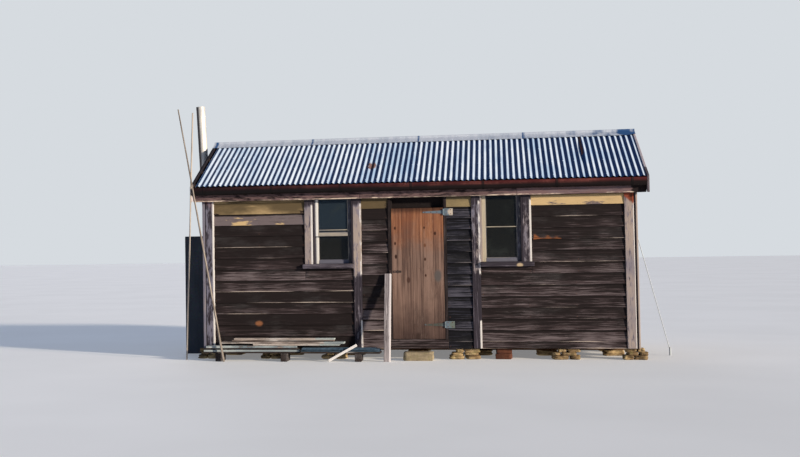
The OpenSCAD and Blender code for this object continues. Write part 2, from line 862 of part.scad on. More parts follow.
// A straight aerial pole that stands on the ground against the left barge board's foot
module aerial_pole() {
    r = 11;
    foot_out = 84;
    tip_in = 43;
    y = -roof_run - barge_tail - r - seat;
    x = -barge_x - barge_t / 2;
    color("#b9ad98") pole([x - foot_out, y, 0], [x + tip_in, y, aerial_top], r, r);
}

// A tapered pole that leans on the left end of the gutter
module leaning_pole() {
    butt_r = 22;
    tip_r = 10;
    at_z = gutter_z - 5;
    at_r = butt_r - (butt_r - tip_r) * at_z / leaning_top;
    foot = [-half_len + leaning_in, gutter_y - gutter_w - leaning_out, 0];
    at = [-gutter_half + 18, gutter_y - gutter_w - at_r - 1, at_z];
    color("#9c8468") pole(foot, foot + (at - foot) * leaning_top / at_z, butt_r, tip_r);
}

// A tie-down from the right end wall to a peg in the ground
module right_stay() {
    eye_plate = 6;
    y = -half_dep / 2;
    eye = [half_len + board_butt + eye_plate, y, course_z(12, first_course, course) + 30];
    foot = [eye[0] + stay_out, y, 60];
    d = foot - eye;
    color("#7c7f82") {
        translate([half_len + board_butt, y - 25, eye[2] - 40]) cube([eye_plate, 50, 80]);
        translate(eye) rotate([0, 90 + atan2(-d[2], d[0]), 0]) translate([0, 0, -4])
            cylinder(r = 5, h = norm(d) + 8, $fn = 16);
        translate([foot[0], foot[1], 0]) cylinder(r = 14, h = 110, $fn = 20);
    }
}

// A plank that leans on the door's left jamb
module leaning_plank() {
    w = 95;
    t = 25;
    top_z = 1165;
    out = 330;
    tilt = atan(out / top_z);
    color("#cfc8c4") intersection() {
        translate([doorway_left - 2 - w, door_face - seat, top_z]) rotate([-tilt, 0, 0])
            translate([0, -t, -top_z * 1.2]) cube([w, t, top_z * 1.2]);
        translate([doorway_left - 2 * w, door_face - 2 * out, 0]) cube([3 * w, 3 * out, 2 * top_z]);
    }
}

// Old boards and sheet iron left in a low stack along the front, each given as
// [left end, length, middle's distance from the studs, width, underside, thickness, turn]
stack = [
    [-2700, 90, 245, 250, 0, 110, 0],
    [-1790, 90, 250, 260, 0, 110, 0],
    [-780, 90, 250, 240, 0, 110, 0],
    [-2870, 1330, 255, 190, 110.3, 100, 1.5],
    [-1520, 1090, 262, 210, 110.3, 80, -1.2],
    [-2190, 1190, 215, 150, 210.6, 25, 0.6],
    [-2640, 1710, 205, 140, 235.9, 25, -0.8],
    [-2500, 1440, 170, 110, 261.2, 45, 0.3]];

module board_stack() {
    color("#8f8a86") for (i = [0:len(stack) - 1]) {
        s = stack[i];
        translate([s[0], -half_dep - trim_t - s[2], s[4]]) rotate([0, 0, s[6]])
            translate([0, -s[3] / 2, 0]) cube([s[1], s[3], s[5]]);
    }
}

foundation_stones();
floor_bearers();
floor_joists();
floor_boards();
door_step();
front_wall_frame_left();
front_wall_frame_right();
back_wall_frame();
left_wall_frame();
right_wall_frame();
top_plates();
front_boards_left();
front_boards_by_door();
front_boards_right();
back_boards();
left_boards();
right_boards();
corner_boards();
cover_battens();
left_window_frame();
left_window_sashes();
left_window_glass();
right_window_frame();
right_window_sash();
right_window_glass();
door_frame();
threshold_board();
door_boards();
door_ledges();
hinge_straps();
door_hasp();
hinge_plates();
hasp_staple();
rafters();
ridge_board();
purlins();
front_roof_sheets();
back_roof_sheets();
ridge_cap();
left_barge_boards();
right_barge_boards();
fascia_boards();
gutter();
gutter_brackets();
fireplace_shell();
hearth();
flue();
aerial_pole();
leaning_pole();
right_stay();
leaning_plank();
board_stack();
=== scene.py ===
import math
import random

import bmesh
import bpy
from mathutils import Matrix, Vector, noise


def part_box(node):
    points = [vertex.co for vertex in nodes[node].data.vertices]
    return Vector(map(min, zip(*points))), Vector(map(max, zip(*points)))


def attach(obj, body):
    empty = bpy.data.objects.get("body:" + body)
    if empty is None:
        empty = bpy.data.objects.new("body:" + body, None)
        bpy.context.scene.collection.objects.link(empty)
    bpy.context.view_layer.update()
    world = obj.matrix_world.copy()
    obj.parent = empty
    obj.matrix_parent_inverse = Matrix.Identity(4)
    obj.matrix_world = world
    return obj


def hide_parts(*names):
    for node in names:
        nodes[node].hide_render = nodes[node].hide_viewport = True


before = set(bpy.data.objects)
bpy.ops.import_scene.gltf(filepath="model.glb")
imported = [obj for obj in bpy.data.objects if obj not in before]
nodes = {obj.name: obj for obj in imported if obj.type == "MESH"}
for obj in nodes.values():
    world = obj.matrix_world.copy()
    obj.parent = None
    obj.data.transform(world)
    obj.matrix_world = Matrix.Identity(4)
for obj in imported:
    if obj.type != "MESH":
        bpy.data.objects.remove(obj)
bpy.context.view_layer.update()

noise.seed_set(1)        # so that the vector noise that bends the boards is the same in every run
scene = bpy.context.scene
print("frame loaded:", len(nodes), "nodes")

# Sizes that many pieces share, in metres, as in the part's source
hut = {
    "halfLen": 2.92, "halfDep": 1.35, "baseZ": 0.15, "pitch": math.radians(26), "eaveZ": 2.41,
    "roofRun": 1.48, "bargeX": 3.07, "boardX": 2.79, "trimT": 0.035, "trimW": 0.112,
    "sillUnder": 1.25, "sillTop": 1.315,
}
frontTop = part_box("cover_battens")[1].z
wallFace = hut["halfDep"] + hut["trimT"]


def roofZ(y, down=0.0):        # height of the sheets' underside over y, less a depth square to the roof
    rise = (hut["roofRun"] - abs(y)) * math.tan(hut["pitch"])
    return hut["eaveZ"] + rise - down / math.cos(hut["pitch"])


def uneven(x, y, z):        # smooth chance around 0 that is the same in every run
    return noise.noise(Vector((x, y, z)))


def fade(away, reach):        # 1 at the place itself, 0 from reach on
    return max(0.0, 1 - away / reach)


def ramp(past, reach):        # 0 at the place itself, 1 from reach on
    return min(1, max(0, past / reach))


# Shader maths

class Wire:        # a socket that takes part in sums
    def __init__(self, tree, socket):
        self.tree, self.socket = tree, socket

    def node(self, kind, settings=None, links=None, out=0):
        made = self.tree.nodes.new(kind)
        for key, value in (settings or {}).items():
            setattr(made, key, value)
        for key, value in (links or {}).items():
            if isinstance(value, Wire):
                self.tree.links.new(value.socket, made.inputs[key])
            else:
                made.inputs[key].default_value = value
        return Wire(self.tree, made.outputs[out])

    def maths(self, sort, a, b=0.0):
        return self.node("ShaderNodeMath", {"operation": sort}, {0: a, 1: b})

    def __add__(self, other):
        return self.maths("ADD", self, other)

    def __radd__(self, other):
        return self.maths("ADD", other, self)

    def __sub__(self, other):
        return self.maths("SUBTRACT", self, other)

    def __rsub__(self, other):
        return self.maths("SUBTRACT", other, self)

    def __mul__(self, other):
        return self.maths("MULTIPLY", self, other)

    def __rmul__(self, other):
        return self.maths("MULTIPLY", other, self)

    def __abs__(self):
        return self.maths("ABSOLUTE", self)


def paint(code, alpha=1.0):        # a screen colour as the shader's own numbers
    part = [int(code[i:i + 2], 16) / 255 for i in (1, 3, 5)]
    return tuple(c / 12.92 if c <= 0.04045 else ((c + 0.055) / 1.055) ** 2.4 for c in part) + (alpha,)


def step(value, low, high):        # 0 below low, 1 above high, smooth between
    return value.node("ShaderNodeMapRange", {"interpolation_type": "SMOOTHSTEP"},
                      {"Value": value, "From Min": low, "From Max": high})


def mixed(under, over, mask):        # one colour over another where the mask is 1
    colours = {6: under, 7: over, 0: mask}
    for key in (6, 7):
        if isinstance(colours[key], str):
            colours[key] = paint(colours[key])
    return mask.node("ShaderNodeMix", {"data_type": "RGBA"}, colours, 2)


def stretched(vector, scale, shift=(0, 0, 0)):
    return vector.node("ShaderNodeMapping", None, {"Vector": vector, "Scale": scale, "Location": shift})


def clouds(vector, size=1.0, detail=3.0, rough=0.55, warp=0.0):
    return vector.node("ShaderNodeTexNoise", None, {"Vector": vector, "Scale": size, "Detail": detail,
                                                    "Roughness": rough, "Distortion": warp})


def axisOf(vector, index):
    return vector.node("ShaderNodeSeparateXYZ", None, {0: vector}, index)


def newMaterial(name, sockets=None):        # the material, its object-place wire and its shader
    made = bpy.data.materials.new(name)
    made.use_nodes = True
    tree = made.node_tree
    shader = tree.nodes["Principled BSDF"]
    for key, value in (sockets or {}).items():
        shader.inputs[key].default_value = value
    place = Wire(tree, tree.nodes.new("ShaderNodeTexCoord").outputs["Object"])
    return made, place, shader


def finishMaterial(shader, wire, colour, rough=None, height=None, depth=0.001, strength=0.6, metal=None):
    wire.tree.links.new(colour.socket, shader.inputs["Base Color"])
    if rough is not None:
        wire.tree.links.new(rough.socket, shader.inputs["Roughness"])
    if metal is not None:
        wire.tree.links.new(metal.socket, shader.inputs["Metallic"])
    if height is not None:
        bump = wire.node("ShaderNodeBump", None, {"Height": height, "Distance": depth, "Strength": strength})
        wire.tree.links.new(bump.socket, shader.inputs["Normal"])


def ownValue(place, name, out=1):        # a value that a piece carries on its points
    return place.node("ShaderNodeAttribute", {"attribute_name": name}, None, out)


def alongGrain(place, run):        # where a point lies on its board: own attribute, or the object's axes
    if run == "own":
        return ownValue(place, "grain")
    turns = {"x": (0, 0, 0), "y": (0, 0, math.pi / 2), "z": (0, math.pi / 2, 0)}
    return place.node("ShaderNodeMapping", None, {"Vector": place, "Rotation": turns[run]})


def spotted(place, body, spots, ragged, squeeze):        # each spot is x, height, size and colour
    for x, z, size, colour in spots:
        away = place.node("ShaderNodeVectorMath", {"operation": "DISTANCE"},
                          {0: stretched(place, squeeze), 1: (x * squeeze[0], 0, z * squeeze[2])}, 1)
        body = mixed(body, colour, 1 - step(away + (ragged - 0.5) * size * 0.7, size * 0.5, size))
    return body


# Sawn timber. Own pieces carry "coat" (tone, paint left, worn edge) and "fresh" (broken wood); on some pieces
# the tone also carries painted shade and the worn edge a painted highlight.
def timber(name, dark, mid, light, run="own", coated=None, worn="#b5a9a0", fresh="#b06a35",
           cracks=0.8, grey=0.0, spots=()):
    made, place, shader = newMaterial(name, {"Specular IOR Level": 0.2})
    grain = alongGrain(place, run)
    broad = clouds(stretched(grain, (0.9, 48, 48)), 1.0, 4.0, 0.6)
    streak = clouds(stretched(grain, (2.6, 84, 84), (4, 1, 8)), 1.0, 4.0, 0.6)
    fine = clouds(stretched(grain, (7, 280, 280)), 1.0, 4.0, 0.65)
    thread = clouds(stretched(grain, (1.4, 60, 60), (3, 7, 1)), 1.0, 3.0, 0.5, 0.3)
    patch = clouds(stretched(grain, (1.6, 4, 4), (9, 2, 4)), 1.0, 4.0, 0.6)
    lean = (axisOf(ownValue(place, "coat"), 0) - 0.5) * 0.45 if run == "own" else 0.0
    body = mixed(dark, mid, step(broad * 0.5 + streak * 0.5 + lean, 0.42, 0.56))
    body = mixed(body, light, step(fine * 0.4 + streak * 0.5 + patch * 0.1 + lean, 0.49, 0.62) * 0.85)
    crack = (1 - step(abs(thread - 0.5), 0.006, 0.018)) * step(patch, 0.44, 0.58)
    body = mixed(body, "#0f0b0a", crack * cracks)
    if grey:
        body = mixed(body, "#8f8d8e", step(patch * 0.7 + fine * 0.3, 0.5, 0.66) * grey)
    height = fine * 0.35 + streak * 0.45 - crack * 0.8
    if run == "own":
        coat = ownValue(place, "coat")
        edge = step(axisOf(coat, 2) + (streak - 0.5) * 0.8 + (patch - 0.5) * 1.2, 0.35, 0.7)
        body = mixed(body, worn, edge * 0.9)
        if coated:
            chips = clouds(stretched(grain, (7, 30, 30), (1, 5, 2)), 1.0, 5.0, 0.65)
            skin = step(axisOf(coat, 1) + (chips - 0.5) * 1.1 - fine * 0.2, 0.35, 0.51)
            skinColour = mixed(coated[0], coated[1], step(patch * 0.6 + axisOf(coat, 0) * 0.4, 0.35, 0.65))
            body = mixed(body, mixed(skinColour, dark, step(fine, 0.5, 0.8) * 0.35), skin * 0.95)
            height = height + skin * 0.4
        raw = step(ownValue(place, "fresh", 2) + (fine - 0.5) * 0.6, 0.4, 0.7)
        body = mixed(body, mixed(fresh, "#54301c", step(streak, 0.5, 0.7)), raw)
    body = spotted(place, body, spots, patch, (0.7, 0, 1))
    finishMaterial(shader, place, body, 0.8 + fine * 0.15, height, 0.0022, 0.7)
    return made


# Sheet iron. Own pieces carry "coat" (tone, rust, dark mark); the dark mark is mostly painted shade and sky
# reflection, with some stain.
def ironSheet(name, base, dull, rusty=0.2, metal=0.5, rough=0.4, shade="#3a4656", spots=()):
    made, place, shader = newMaterial(name)
    own = ownValue(place, "grain")
    coat = ownValue(place, "coat")
    wash = clouds(stretched(own, (16, 0.9, 3)), 1.0, 4.0, 0.6, 0.3)
    cloud = clouds(place, 2.3, 4.0, 0.6)
    spangle = place.node("ShaderNodeTexVoronoi", None, {"Vector": place, "Scale": 85.0}, 1)
    spot = clouds(place, 26.0, 5.0, 0.7)
    body = mixed(base, dull, step(wash + cloud * 0.6 + (axisOf(coat, 0) - 0.5) * 0.5, 0.62, 1.1))
    body = mixed(body, spangle, step(cloud, 0.3, 0.7) * 0.04)
    # the dark mark: painted shade and sky reflection on most pieces, stain on a few
    body = mixed(body, shade, step(axisOf(coat, 2) + (wash - 0.5) * 0.5, 0.2, 0.9))
    eaten = step(axisOf(coat, 1) * 0.9 + spot * 0.55 + wash * 0.25 + rusty * 0.3, 0.78, 1.0)
    body = mixed(body, mixed("#5d3322", "#8a5a38", step(spot, 0.45, 0.7)), eaten * 0.9)
    body = spotted(place, body, spots, spot, (1, 0, 1))
    finishMaterial(shader, place, body, rough + wash * 0.25 + eaten * 0.3, spot * 0.2 + cloud * 0.6,
                   0.002, 0.25, metal * (1 - eaten * 0.9))
    return made


def paintedIron(name, coat, worn, under, rough=0.45):        # painted shade below the gutter's upper band and towards its left end
    made, place, shader = newMaterial(name, {"Specular IOR Level": 0.2})
    cloud = clouds(place, 4.0, 5.0, 0.65)
    long = clouds(stretched(place, (0.9, 30, 30)), 1.0, 4.0, 0.6)
    spot = clouds(place, 40.0, 4.0, 0.7)
    body = mixed(coat, worn, step(cloud * 0.6 + long * 0.5, 0.48, 0.7))
    chip = step(spot * 0.6 + cloud * 0.6, 0.70, 0.78)
    body = mixed(body, under, chip)
    # painted shade: darker towards the left end and below the upper band
    body = mixed("#1d0d10", body, step(axisOf(place, 0) + cloud * 2, -2.5, 3.5))
    body = mixed("#080404", body, step(axisOf(place, 2) + (cloud - 0.5) * 0.02, 2.335, 2.385) * 0.95 + 0.05)
    finishMaterial(shader, place, body, rough + cloud * 0.3, spot * 0.3 - chip * 0.6, 0.001, 0.4)
    return made


def rockFace(name, pale, mid, dark, lichen="#8a8455"):
    made, place, shader = newMaterial(name, {"Specular IOR Level": 0.2})
    layers = clouds(stretched(place, (5, 5, 42)), 1.0, 4.0, 0.6, 0.5)
    big = clouds(place, 5.0, 6.0, 0.62)
    small = clouds(place, 44.0, 5.0, 0.7)
    body = mixed(mid, pale, step(big * 0.6 + layers * 0.4, 0.44, 0.6))
    body = mixed(body, dark, step(small * 0.5 + layers * 0.5, 0.54, 0.68) * 0.85)
    body = mixed(body, lichen, step(clouds(place, 13.0, 4.0, 0.6), 0.56, 0.66) * 0.4)
    finishMaterial(shader, place, body, 0.85 + small * 0.12, layers * 0.6 + small * 0.5, 0.008, 0.8)
    return made


print("materials")
# the dark olive end of its paint stands for the cream paint in shade: painted shade
wallWood = timber("wallWood", "#1d1616", "#3d3233", "#736869", coated=("#5f513a", "#cdb081"), worn="#c0b1a4",
                  fresh="#8c5635", grey=0.08, spots=((-2.162, 0.494, 0.05, "#8a5a3c"),))
# a darker, bluish copy of the wall timber for the panel right of the door: painted shade
shadeWood = timber("shadeWood", "#0d0d12", "#24242d", "#57555f", coated=("#665a45", "#9a8862"),
                   worn="#7d7675", grey=0.06)
sideWood = timber("sideWood", "#2f2827", "#544a47", "#7d736f", coated=("#a89a80", "#968b7b"), grey=0.2)
# its cool lavender greys are partly painted half-shade
trimWood = timber("trimWood", "#332e35", "#68616b", "#8d8690", coated=("#73717f", "#aa9a8e"), worn="#e2ddd8",
                  fresh="#86422f", cracks=0.9, spots=((1.423, 1.267, 0.035, "#b7a283"),))
sashWood = timber("sashWood", "#45434a", "#716d6c", "#9a948c", coated=("#6b6b77", "#b8ad97"), worn="#e9e6df")
fasciaWood = timber("fasciaWood", "#211819", "#49393c", "#7d6a6e", coated=("#64504f", "#7b6262"),
                    worn="#e0cbb6", cracks=0.6)
bargeWood = timber("bargeWood", "#17151a", "#38323a", "#6d656b", coated=("#99929b", "#bdb4b8"),
                   worn="#d6cec8")
roofTimber = timber("roofTimber", "#241d19", "#43372f", "#6d5d50", run="x")
insideWood = timber("insideWood", "#4b3524", "#7a5b3e", "#9c7a56")
framing = {run: timber("framingWood" + run.upper(), "#4b3524", "#7a5b3e", "#9c7a56", run=run)
           for run in "xyz"}
poleWood = timber("poleWood", "#655b52", "#90867c", "#beb3a7", cracks=0.5)
scrapWood = timber("scrapWood", "#2f2725", "#7a6d66", "#bfb2a8", coated=("#33495a", "#b2bbb9"),
                   worn="#eae6e2", grey=0.3)
plankWood = timber("plankWood", "#726b6d", "#958e8f", "#bab2b2", worn="#dfd8d7", cracks=0.6)
roofIron = ironSheet("roofIron", "#dce9f6", "#a3bfdc", rusty=0.0, metal=0.15, rough=0.42, shade="#113c70")
ridgeIron = ironSheet("ridgeIron", "#cbd2dc", "#b0bac8", rusty=0.1, metal=0.15, rough=0.5, shade="#2a5688")
flueIron = ironSheet("flueIron", "#e2ddd2", "#a8a9ac", rusty=0.1, metal=0.35, rough=0.4, shade="#5c5049")
# its very dark blue-grey is partly painted shade
alcoveIron = ironSheet("alcoveIron", "#28313d", "#1c242e", rusty=0.15, metal=0.1, rough=0.6)
looseIron = ironSheet("looseIron", "#5a7386", "#2c4253", rusty=0.1, metal=0.3, rough=0.45)
hingeIron = ironSheet("hingeIron", "#66757f", "#4b5862", rusty=0.3, metal=0.3, rough=0.5,
                      spots=((0.525, 1.999, 0.062, "#c9bba9"), (0.53, 0.471, 0.07, "#69736a"),
                             (0.27, 0.471, 0.17, "#4c5049")))
darkIron = ironSheet("darkIron", "#41322c", "#2a211e", rusty=0.6, metal=0.5, rough=0.6)
stayIron = ironSheet("stayIron", "#aab0b4", "#7c8082", rusty=0.2, metal=0.5, rough=0.45)
gutterPaint = paintedIron("gutterPaint", "#4d1d1b", "#7a443d", "#1b0e0f", 0.4)
bracketPaint = paintedIron("bracketPaint", "#2a1413", "#3d2321", "#120a0a", 0.6)
stoneFace = rockFace("stoneFace", "#bfa77d", "#766146", "#231a13")
blockFace = rockFace("blockFace", "#a19378", "#857862", "#4f463b", "#827b57")
brickFace = rockFace("brickFace", "#5f3a2b", "#4c2c22", "#2d1a16", "#4d372c")

# Knots, stains and worn places of the door: x, height, size and colour
doorMarks = [
    (-0.242, 1.79, 0.018, "#3a2118"), (-0.243, 1.58, 0.018, "#3a2118"), (-0.235, 1.40, 0.022, "#33201a"),
    (0.155, 1.79, 0.016, "#3a2118"), (0.16, 1.36, 0.017, "#3a2118"), (0.165, 1.14, 0.015, "#3a2118"),
    (0.3, 1.71, 0.02, "#3a2118"), (0.33, 1.13, 0.07, "#5a5350"), (-0.07, 1.08, 0.03, "#4a342c"),
    (0.16, 1.55, 0.02, "#6a4632"), (0.05, 0.3, 0.05, "#3b2c27"),
]


def doorTimber():
    made, place, shader = newMaterial("doorWood", {"Specular IOR Level": 0.2})
    grain = ownValue(place, "grain")
    tone = axisOf(ownValue(place, "coat"), 0)
    up = axisOf(place, 2)
    broad = clouds(stretched(grain, (1.1, 30, 30)), 1.0, 5.0, 0.6, 0.5)
    fine = clouds(stretched(grain, (5, 240, 240)), 1.0, 4.0, 0.65)
    patch = clouds(place, 3.4, 4.0, 0.6)
    warm = mixed("#744834", "#986749", step(broad + (tone - 0.5) * 0.4, 0.34, 0.66))
    faded = mixed("#56423a", "#876d60", step(broad + (tone - 0.5) * 0.5, 0.32, 0.66))
    body = mixed(faded, warm, step(up + patch * 0.9, 1.8, 2.35))
    body = mixed(body, "#3a2b28", step(1.45 - up + patch * 0.8 + fine * 0.3, 1.0, 1.8) * 0.85)
    body = mixed(body, "#b49c8c", step(fine * 0.6 + patch * 0.4, 0.54, 0.68) * 0.4)
    # painted shadow across the top of the door
    body = mixed(body, "#2a1a15", step(up + fine * 0.03, 1.98, 2.06) * 0.75)
    thread = clouds(stretched(grain, (1.4, 60, 60), (2, 8, 3)), 1.0, 3.0, 0.5, 0.4)
    crack = (1 - step(abs(thread - 0.5), 0.005, 0.016)) * step(patch, 0.45, 0.6)
    body = mixed(body, "#2c1c16", crack * 0.6)
    body = spotted(place, body, doorMarks, patch, (1, 0, 0.6))
    finishMaterial(shader, place, body, 0.75 + fine * 0.15, fine * 0.4 + broad * 0.4 - crack, 0.002, 0.6)
    return made


def windowGlass():
    made, place, shader = newMaterial("windowGlass", {"IOR": 1.45, "Specular IOR Level": 0.5})
    dirt = clouds(place, 3.0, 4.0, 0.6)
    ripple = clouds(stretched(place, (5, 5, 1.5)), 1.0, 2.0, 0.5)
    up = axisOf(place, 2)
    # the bluish upper part of the left window is a painted reflection of the sky
    sky = step(up + dirt * 0.2, 1.7, 1.95) * (1 - step(axisOf(place, 0), -0.2, 0.2))        # left window only
    body = mixed("#1d1d18", "#28323a", sky)
    body = mixed(body, "#343a34", step(dirt, 0.5, 0.75) * 0.6)
    see = 0.82 + step(dirt, 0.5, 0.8) * 0.12
    place.tree.links.new(see.socket, shader.inputs["Alpha"])
    finishMaterial(shader, place, body, 0.1 + step(dirt, 0.55, 0.8) * 0.3, ripple, 0.004, 0.25)
    return made


doorWood = doorTimber()
glass = windowGlass()


# Building pieces

def newShape():
    bm = bmesh.new()
    bm.verts.layers.float_vector.new("grain")
    bm.verts.layers.float_vector.new("coat")
    bm.verts.layers.float.new("fresh")
    return bm


# Sets a part in its place in a piece. The coat is tone, paint, worn edge and fresh wood, as four
# values or as a function of the part's own place.
def joinPart(bm, part, place=Matrix(), slide=0.0, coat=(0.5, 0, 0, 0), flip=False):
    grain = part.verts.layers.float_vector.new("grain")
    skin = part.verts.layers.float_vector.new("coat")
    fresh = part.verts.layers.float.new("fresh")
    for v in part.verts:
        look = coat(v.co) if callable(coat) else coat
        v[grain] = (v.co.x + slide, v.co.y + slide * 0.31, v.co.z + slide * 0.73)
        v[skin] = look[:3]
        v[fresh] = look[3]
    bmesh.ops.transform(part, matrix=place, verts=part.verts)
    if flip:
        bmesh.ops.reverse_faces(part, faces=part.faces)
    held = bpy.data.meshes.new("held")
    part.to_mesh(held)
    part.free()
    bm.from_mesh(held)
    bpy.data.meshes.remove(held)


def finishPiece(name, bm, material, body="hut", stands=(), smooth=35):
    mesh = bpy.data.meshes.new(name)
    bm.to_mesh(mesh)
    bm.free()
    piece = bpy.data.objects.new(name, mesh)
    scene.collection.objects.link(piece)
    mesh.materials.append(material)
    mesh.shade_smooth()
    mesh.set_sharp_from_angle(angle=math.radians(smooth))
    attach(piece, body)
    if stands:
        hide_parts(*stands)
    return piece


def moved(x=0.0, y=0.0, z=0.0):
    return Matrix.Translation((x, y, z))


def turned(degrees, axis="Z"):
    return Matrix.Rotation(math.radians(degrees), 4, axis)


def boxPart(low, high):        # a plain block between two corners, to be shaped further
    bm = bmesh.new()
    bmesh.ops.create_cube(bm, size=1.0)
    bmesh.ops.scale(bm, vec=[h - l for l, h in zip(low, high)], verts=bm.verts)
    bmesh.ops.translate(bm, vec=[(l + h) / 2 for l, h in zip(low, high)], verts=bm.verts)
    return bm


def edgesAlong(bm, axis):
    return [e for e in bm.edges
            if abs((e.verts[0].co - e.verts[1].co).normalized()[axis]) > 0.999]


def chamfer(bm, edges, size, rounds=1):
    bmesh.ops.bevel(bm, geom=edges, offset=size, offset_type="OFFSET", segments=rounds, profile=0.5,
                    affect="EDGES", clamp_overlap=True, material=-1)


def divide(bm, edges, cuts):
    bmesh.ops.subdivide_edges(bm, edges=edges, cuts=cuts, use_grid_fill=True)


def everything(bm):
    return bm.verts[:] + bm.edges[:] + bm.faces[:]


def only(kind, geometry):        # the points or the edges in what an operator gives back
    return [item for item in geometry if isinstance(item, kind)]


def cutAway(bm, point, facing):        # takes off what lies on the facing side of a plane and closes the cut
    cut = bmesh.ops.bisect_plane(bm, geom=everything(bm), plane_co=point, plane_no=facing, clear_outer=True)
    bmesh.ops.holes_fill(bm, edges=only(bmesh.types.BMEdge, cut["geom_cut"]))


def drawOut(bm, edges, vec):        # extrudes edges and gives the new ones back
    made = bmesh.ops.extrude_edge_only(bm, edges=edges)["geom"]
    bmesh.ops.translate(bm, vec=vec, verts=only(bmesh.types.BMVert, made))
    return only(bmesh.types.BMEdge, made)


def faceOut(bm):
    bmesh.ops.recalc_face_normals(bm, faces=bm.faces)


def thicken(bm, thickness):
    bmesh.ops.solidify(bm, geom=bm.faces[:], thickness=thickness)


def flatSheet(bm, columns, rows, wide, tall):        # a grid, with the place of each point on the sheet
    bmesh.ops.create_grid(bm, x_segments=columns, y_segments=rows, size=0.5)
    return [(v, (v.co.x + 0.5) * wide, (v.co.y + 0.5) * tall) for v in bm.verts]


# A sawn board along its own x, its face towards -y, its width along z. A feathered board is thinner
# at its top; torn gives how far its lower edge is broken away at a place along it; bands are heights
# at which it gets a line of points, so that its edge can be worn.
def board(length, thick, width, rng, edge=0.002, warp=0.0015, every=0.11, feather=None, torn=None, bands=()):
    bm = boxPart((0, -thick, 0), (length, 0, width))
    if feather:        # thickness at the top and how far the foot stands out behind
        for v in bm.verts:
            if v.co.z > width / 2:
                v.co.y = -feather[0] if v.co.y < -thick / 2 else 0.0
            elif v.co.y > -thick / 2:
                v.co.y = -feather[1]
    for up in bands:
        bmesh.ops.bisect_plane(bm, geom=everything(bm), plane_co=(0, 0, up), plane_no=(0, 0, 1))
    divide(bm, edgesAlong(bm, 0), max(2, int(length / every)))
    chamfer(bm, [e for e in bm.edges if e.calc_face_angle(0) > 1.0], edge)
    seed = rng.uniform(0, 90)
    for v in bm.verts:
        bend = noise.noise_vector(Vector((v.co.x * 1.3, seed, v.co.z * 2)))
        low = fade(v.co.z, width * 0.3)
        v.co.y += bend.y * warp
        v.co.z += bend.z * warp
        if torn:
            v.co.z += torn(v.co.x, seed) * low
    return bm


def nailHeads(bm, rng, places, out=(0, -1, 0), radius=0.0042, proud=0.0014):
    turn = Vector((0, 0, 1)).rotation_difference(Vector(out)).to_matrix().to_4x4()
    for place in places:
        part = bmesh.new()
        bmesh.ops.create_cone(part, cap_ends=True, segments=8, radius1=radius, radius2=radius * 0.7,
                              depth=proud, matrix=moved(0, 0, proud / 2))
        joinPart(bm, part, moved(*place) @ turn, rng.uniform(0, 50), (0.5, 0.6, 0, 0))


def upright():        # turns a board along x into one that stands, its width along x
    return Matrix(((0, 0, 1, 0), (0, 1, 0, 0), (1, 0, 0, 0), (0, 0, 0, 1)))


# A square-edged board between two corners, lying along x or standing
def squareBoard(shape, rng, low, high, run, coat, edge=0.003, warp=0.0012, bands=(), torn=None):
    size = [h - l for l, h in zip(low, high)]
    slide = rng.uniform(0, 60)
    at = moved(low[0], high[1], low[2])
    if run == "z":
        part = board(size[2], size[1], size[0], rng, edge, warp, bands=bands)
        joinPart(shape, part, at @ upright(), slide, coat, flip=True)
    else:
        part = board(size[0], size[1], size[2], rng, edge, warp, bands=bands, torn=torn)
        joinPart(shape, part, at, slide, coat)


def edgeBands(width, band):        # lines of points on both sides of a worn edge
    return (width - band, width - band - 0.004)


# A trim whose right edge is bright, worn paint with a painted highlight, and whose head, from a length on, is
# dark, painted shade with stain
def brightEdge(width, band, tone, left, fresh=None, head=9.0):
    def coat(co):
        # the dark head: painted shade with stain
        if co.x > head + 0.3 * co.z:
            return (0.1, 0.1, 0, 0.25)
        bright = co.z > width - band - 0.002
        return (tone, 0.0 if bright else left, 1.2 if bright else 0.0, fresh(co) if fresh else 0.0)
    return coat


# Weatherboards

wallBoards = {
    "course": 0.152, "first": 0.09, "leftCourse": 0.155, "leftFirst": 0.166, "butt": 0.025, "top": 0.009,
    "behind": 0.011, "lap": 0.018, "joint": 0.0015, "longest": 3.3, "narrow": 0.02, "warp": 0.0014,
    "nailUp": 0.03, "nailIn": 0.025, "nailFrom": 0.06, "stud": 0.6, "wornFoot": 0.018, "shadeFrom": 0.12,
    "fine": 0.055, "coarse": 0.12,        # distance between points on the front and elsewhere
    "alcoveHalf": 0.55, "alcoveTop": 1.74, "underRafters": 0.042, "seed": 41,
    "split": (1.66, 1.96, 1.544),        # a broken lower edge: from, to and its height
}

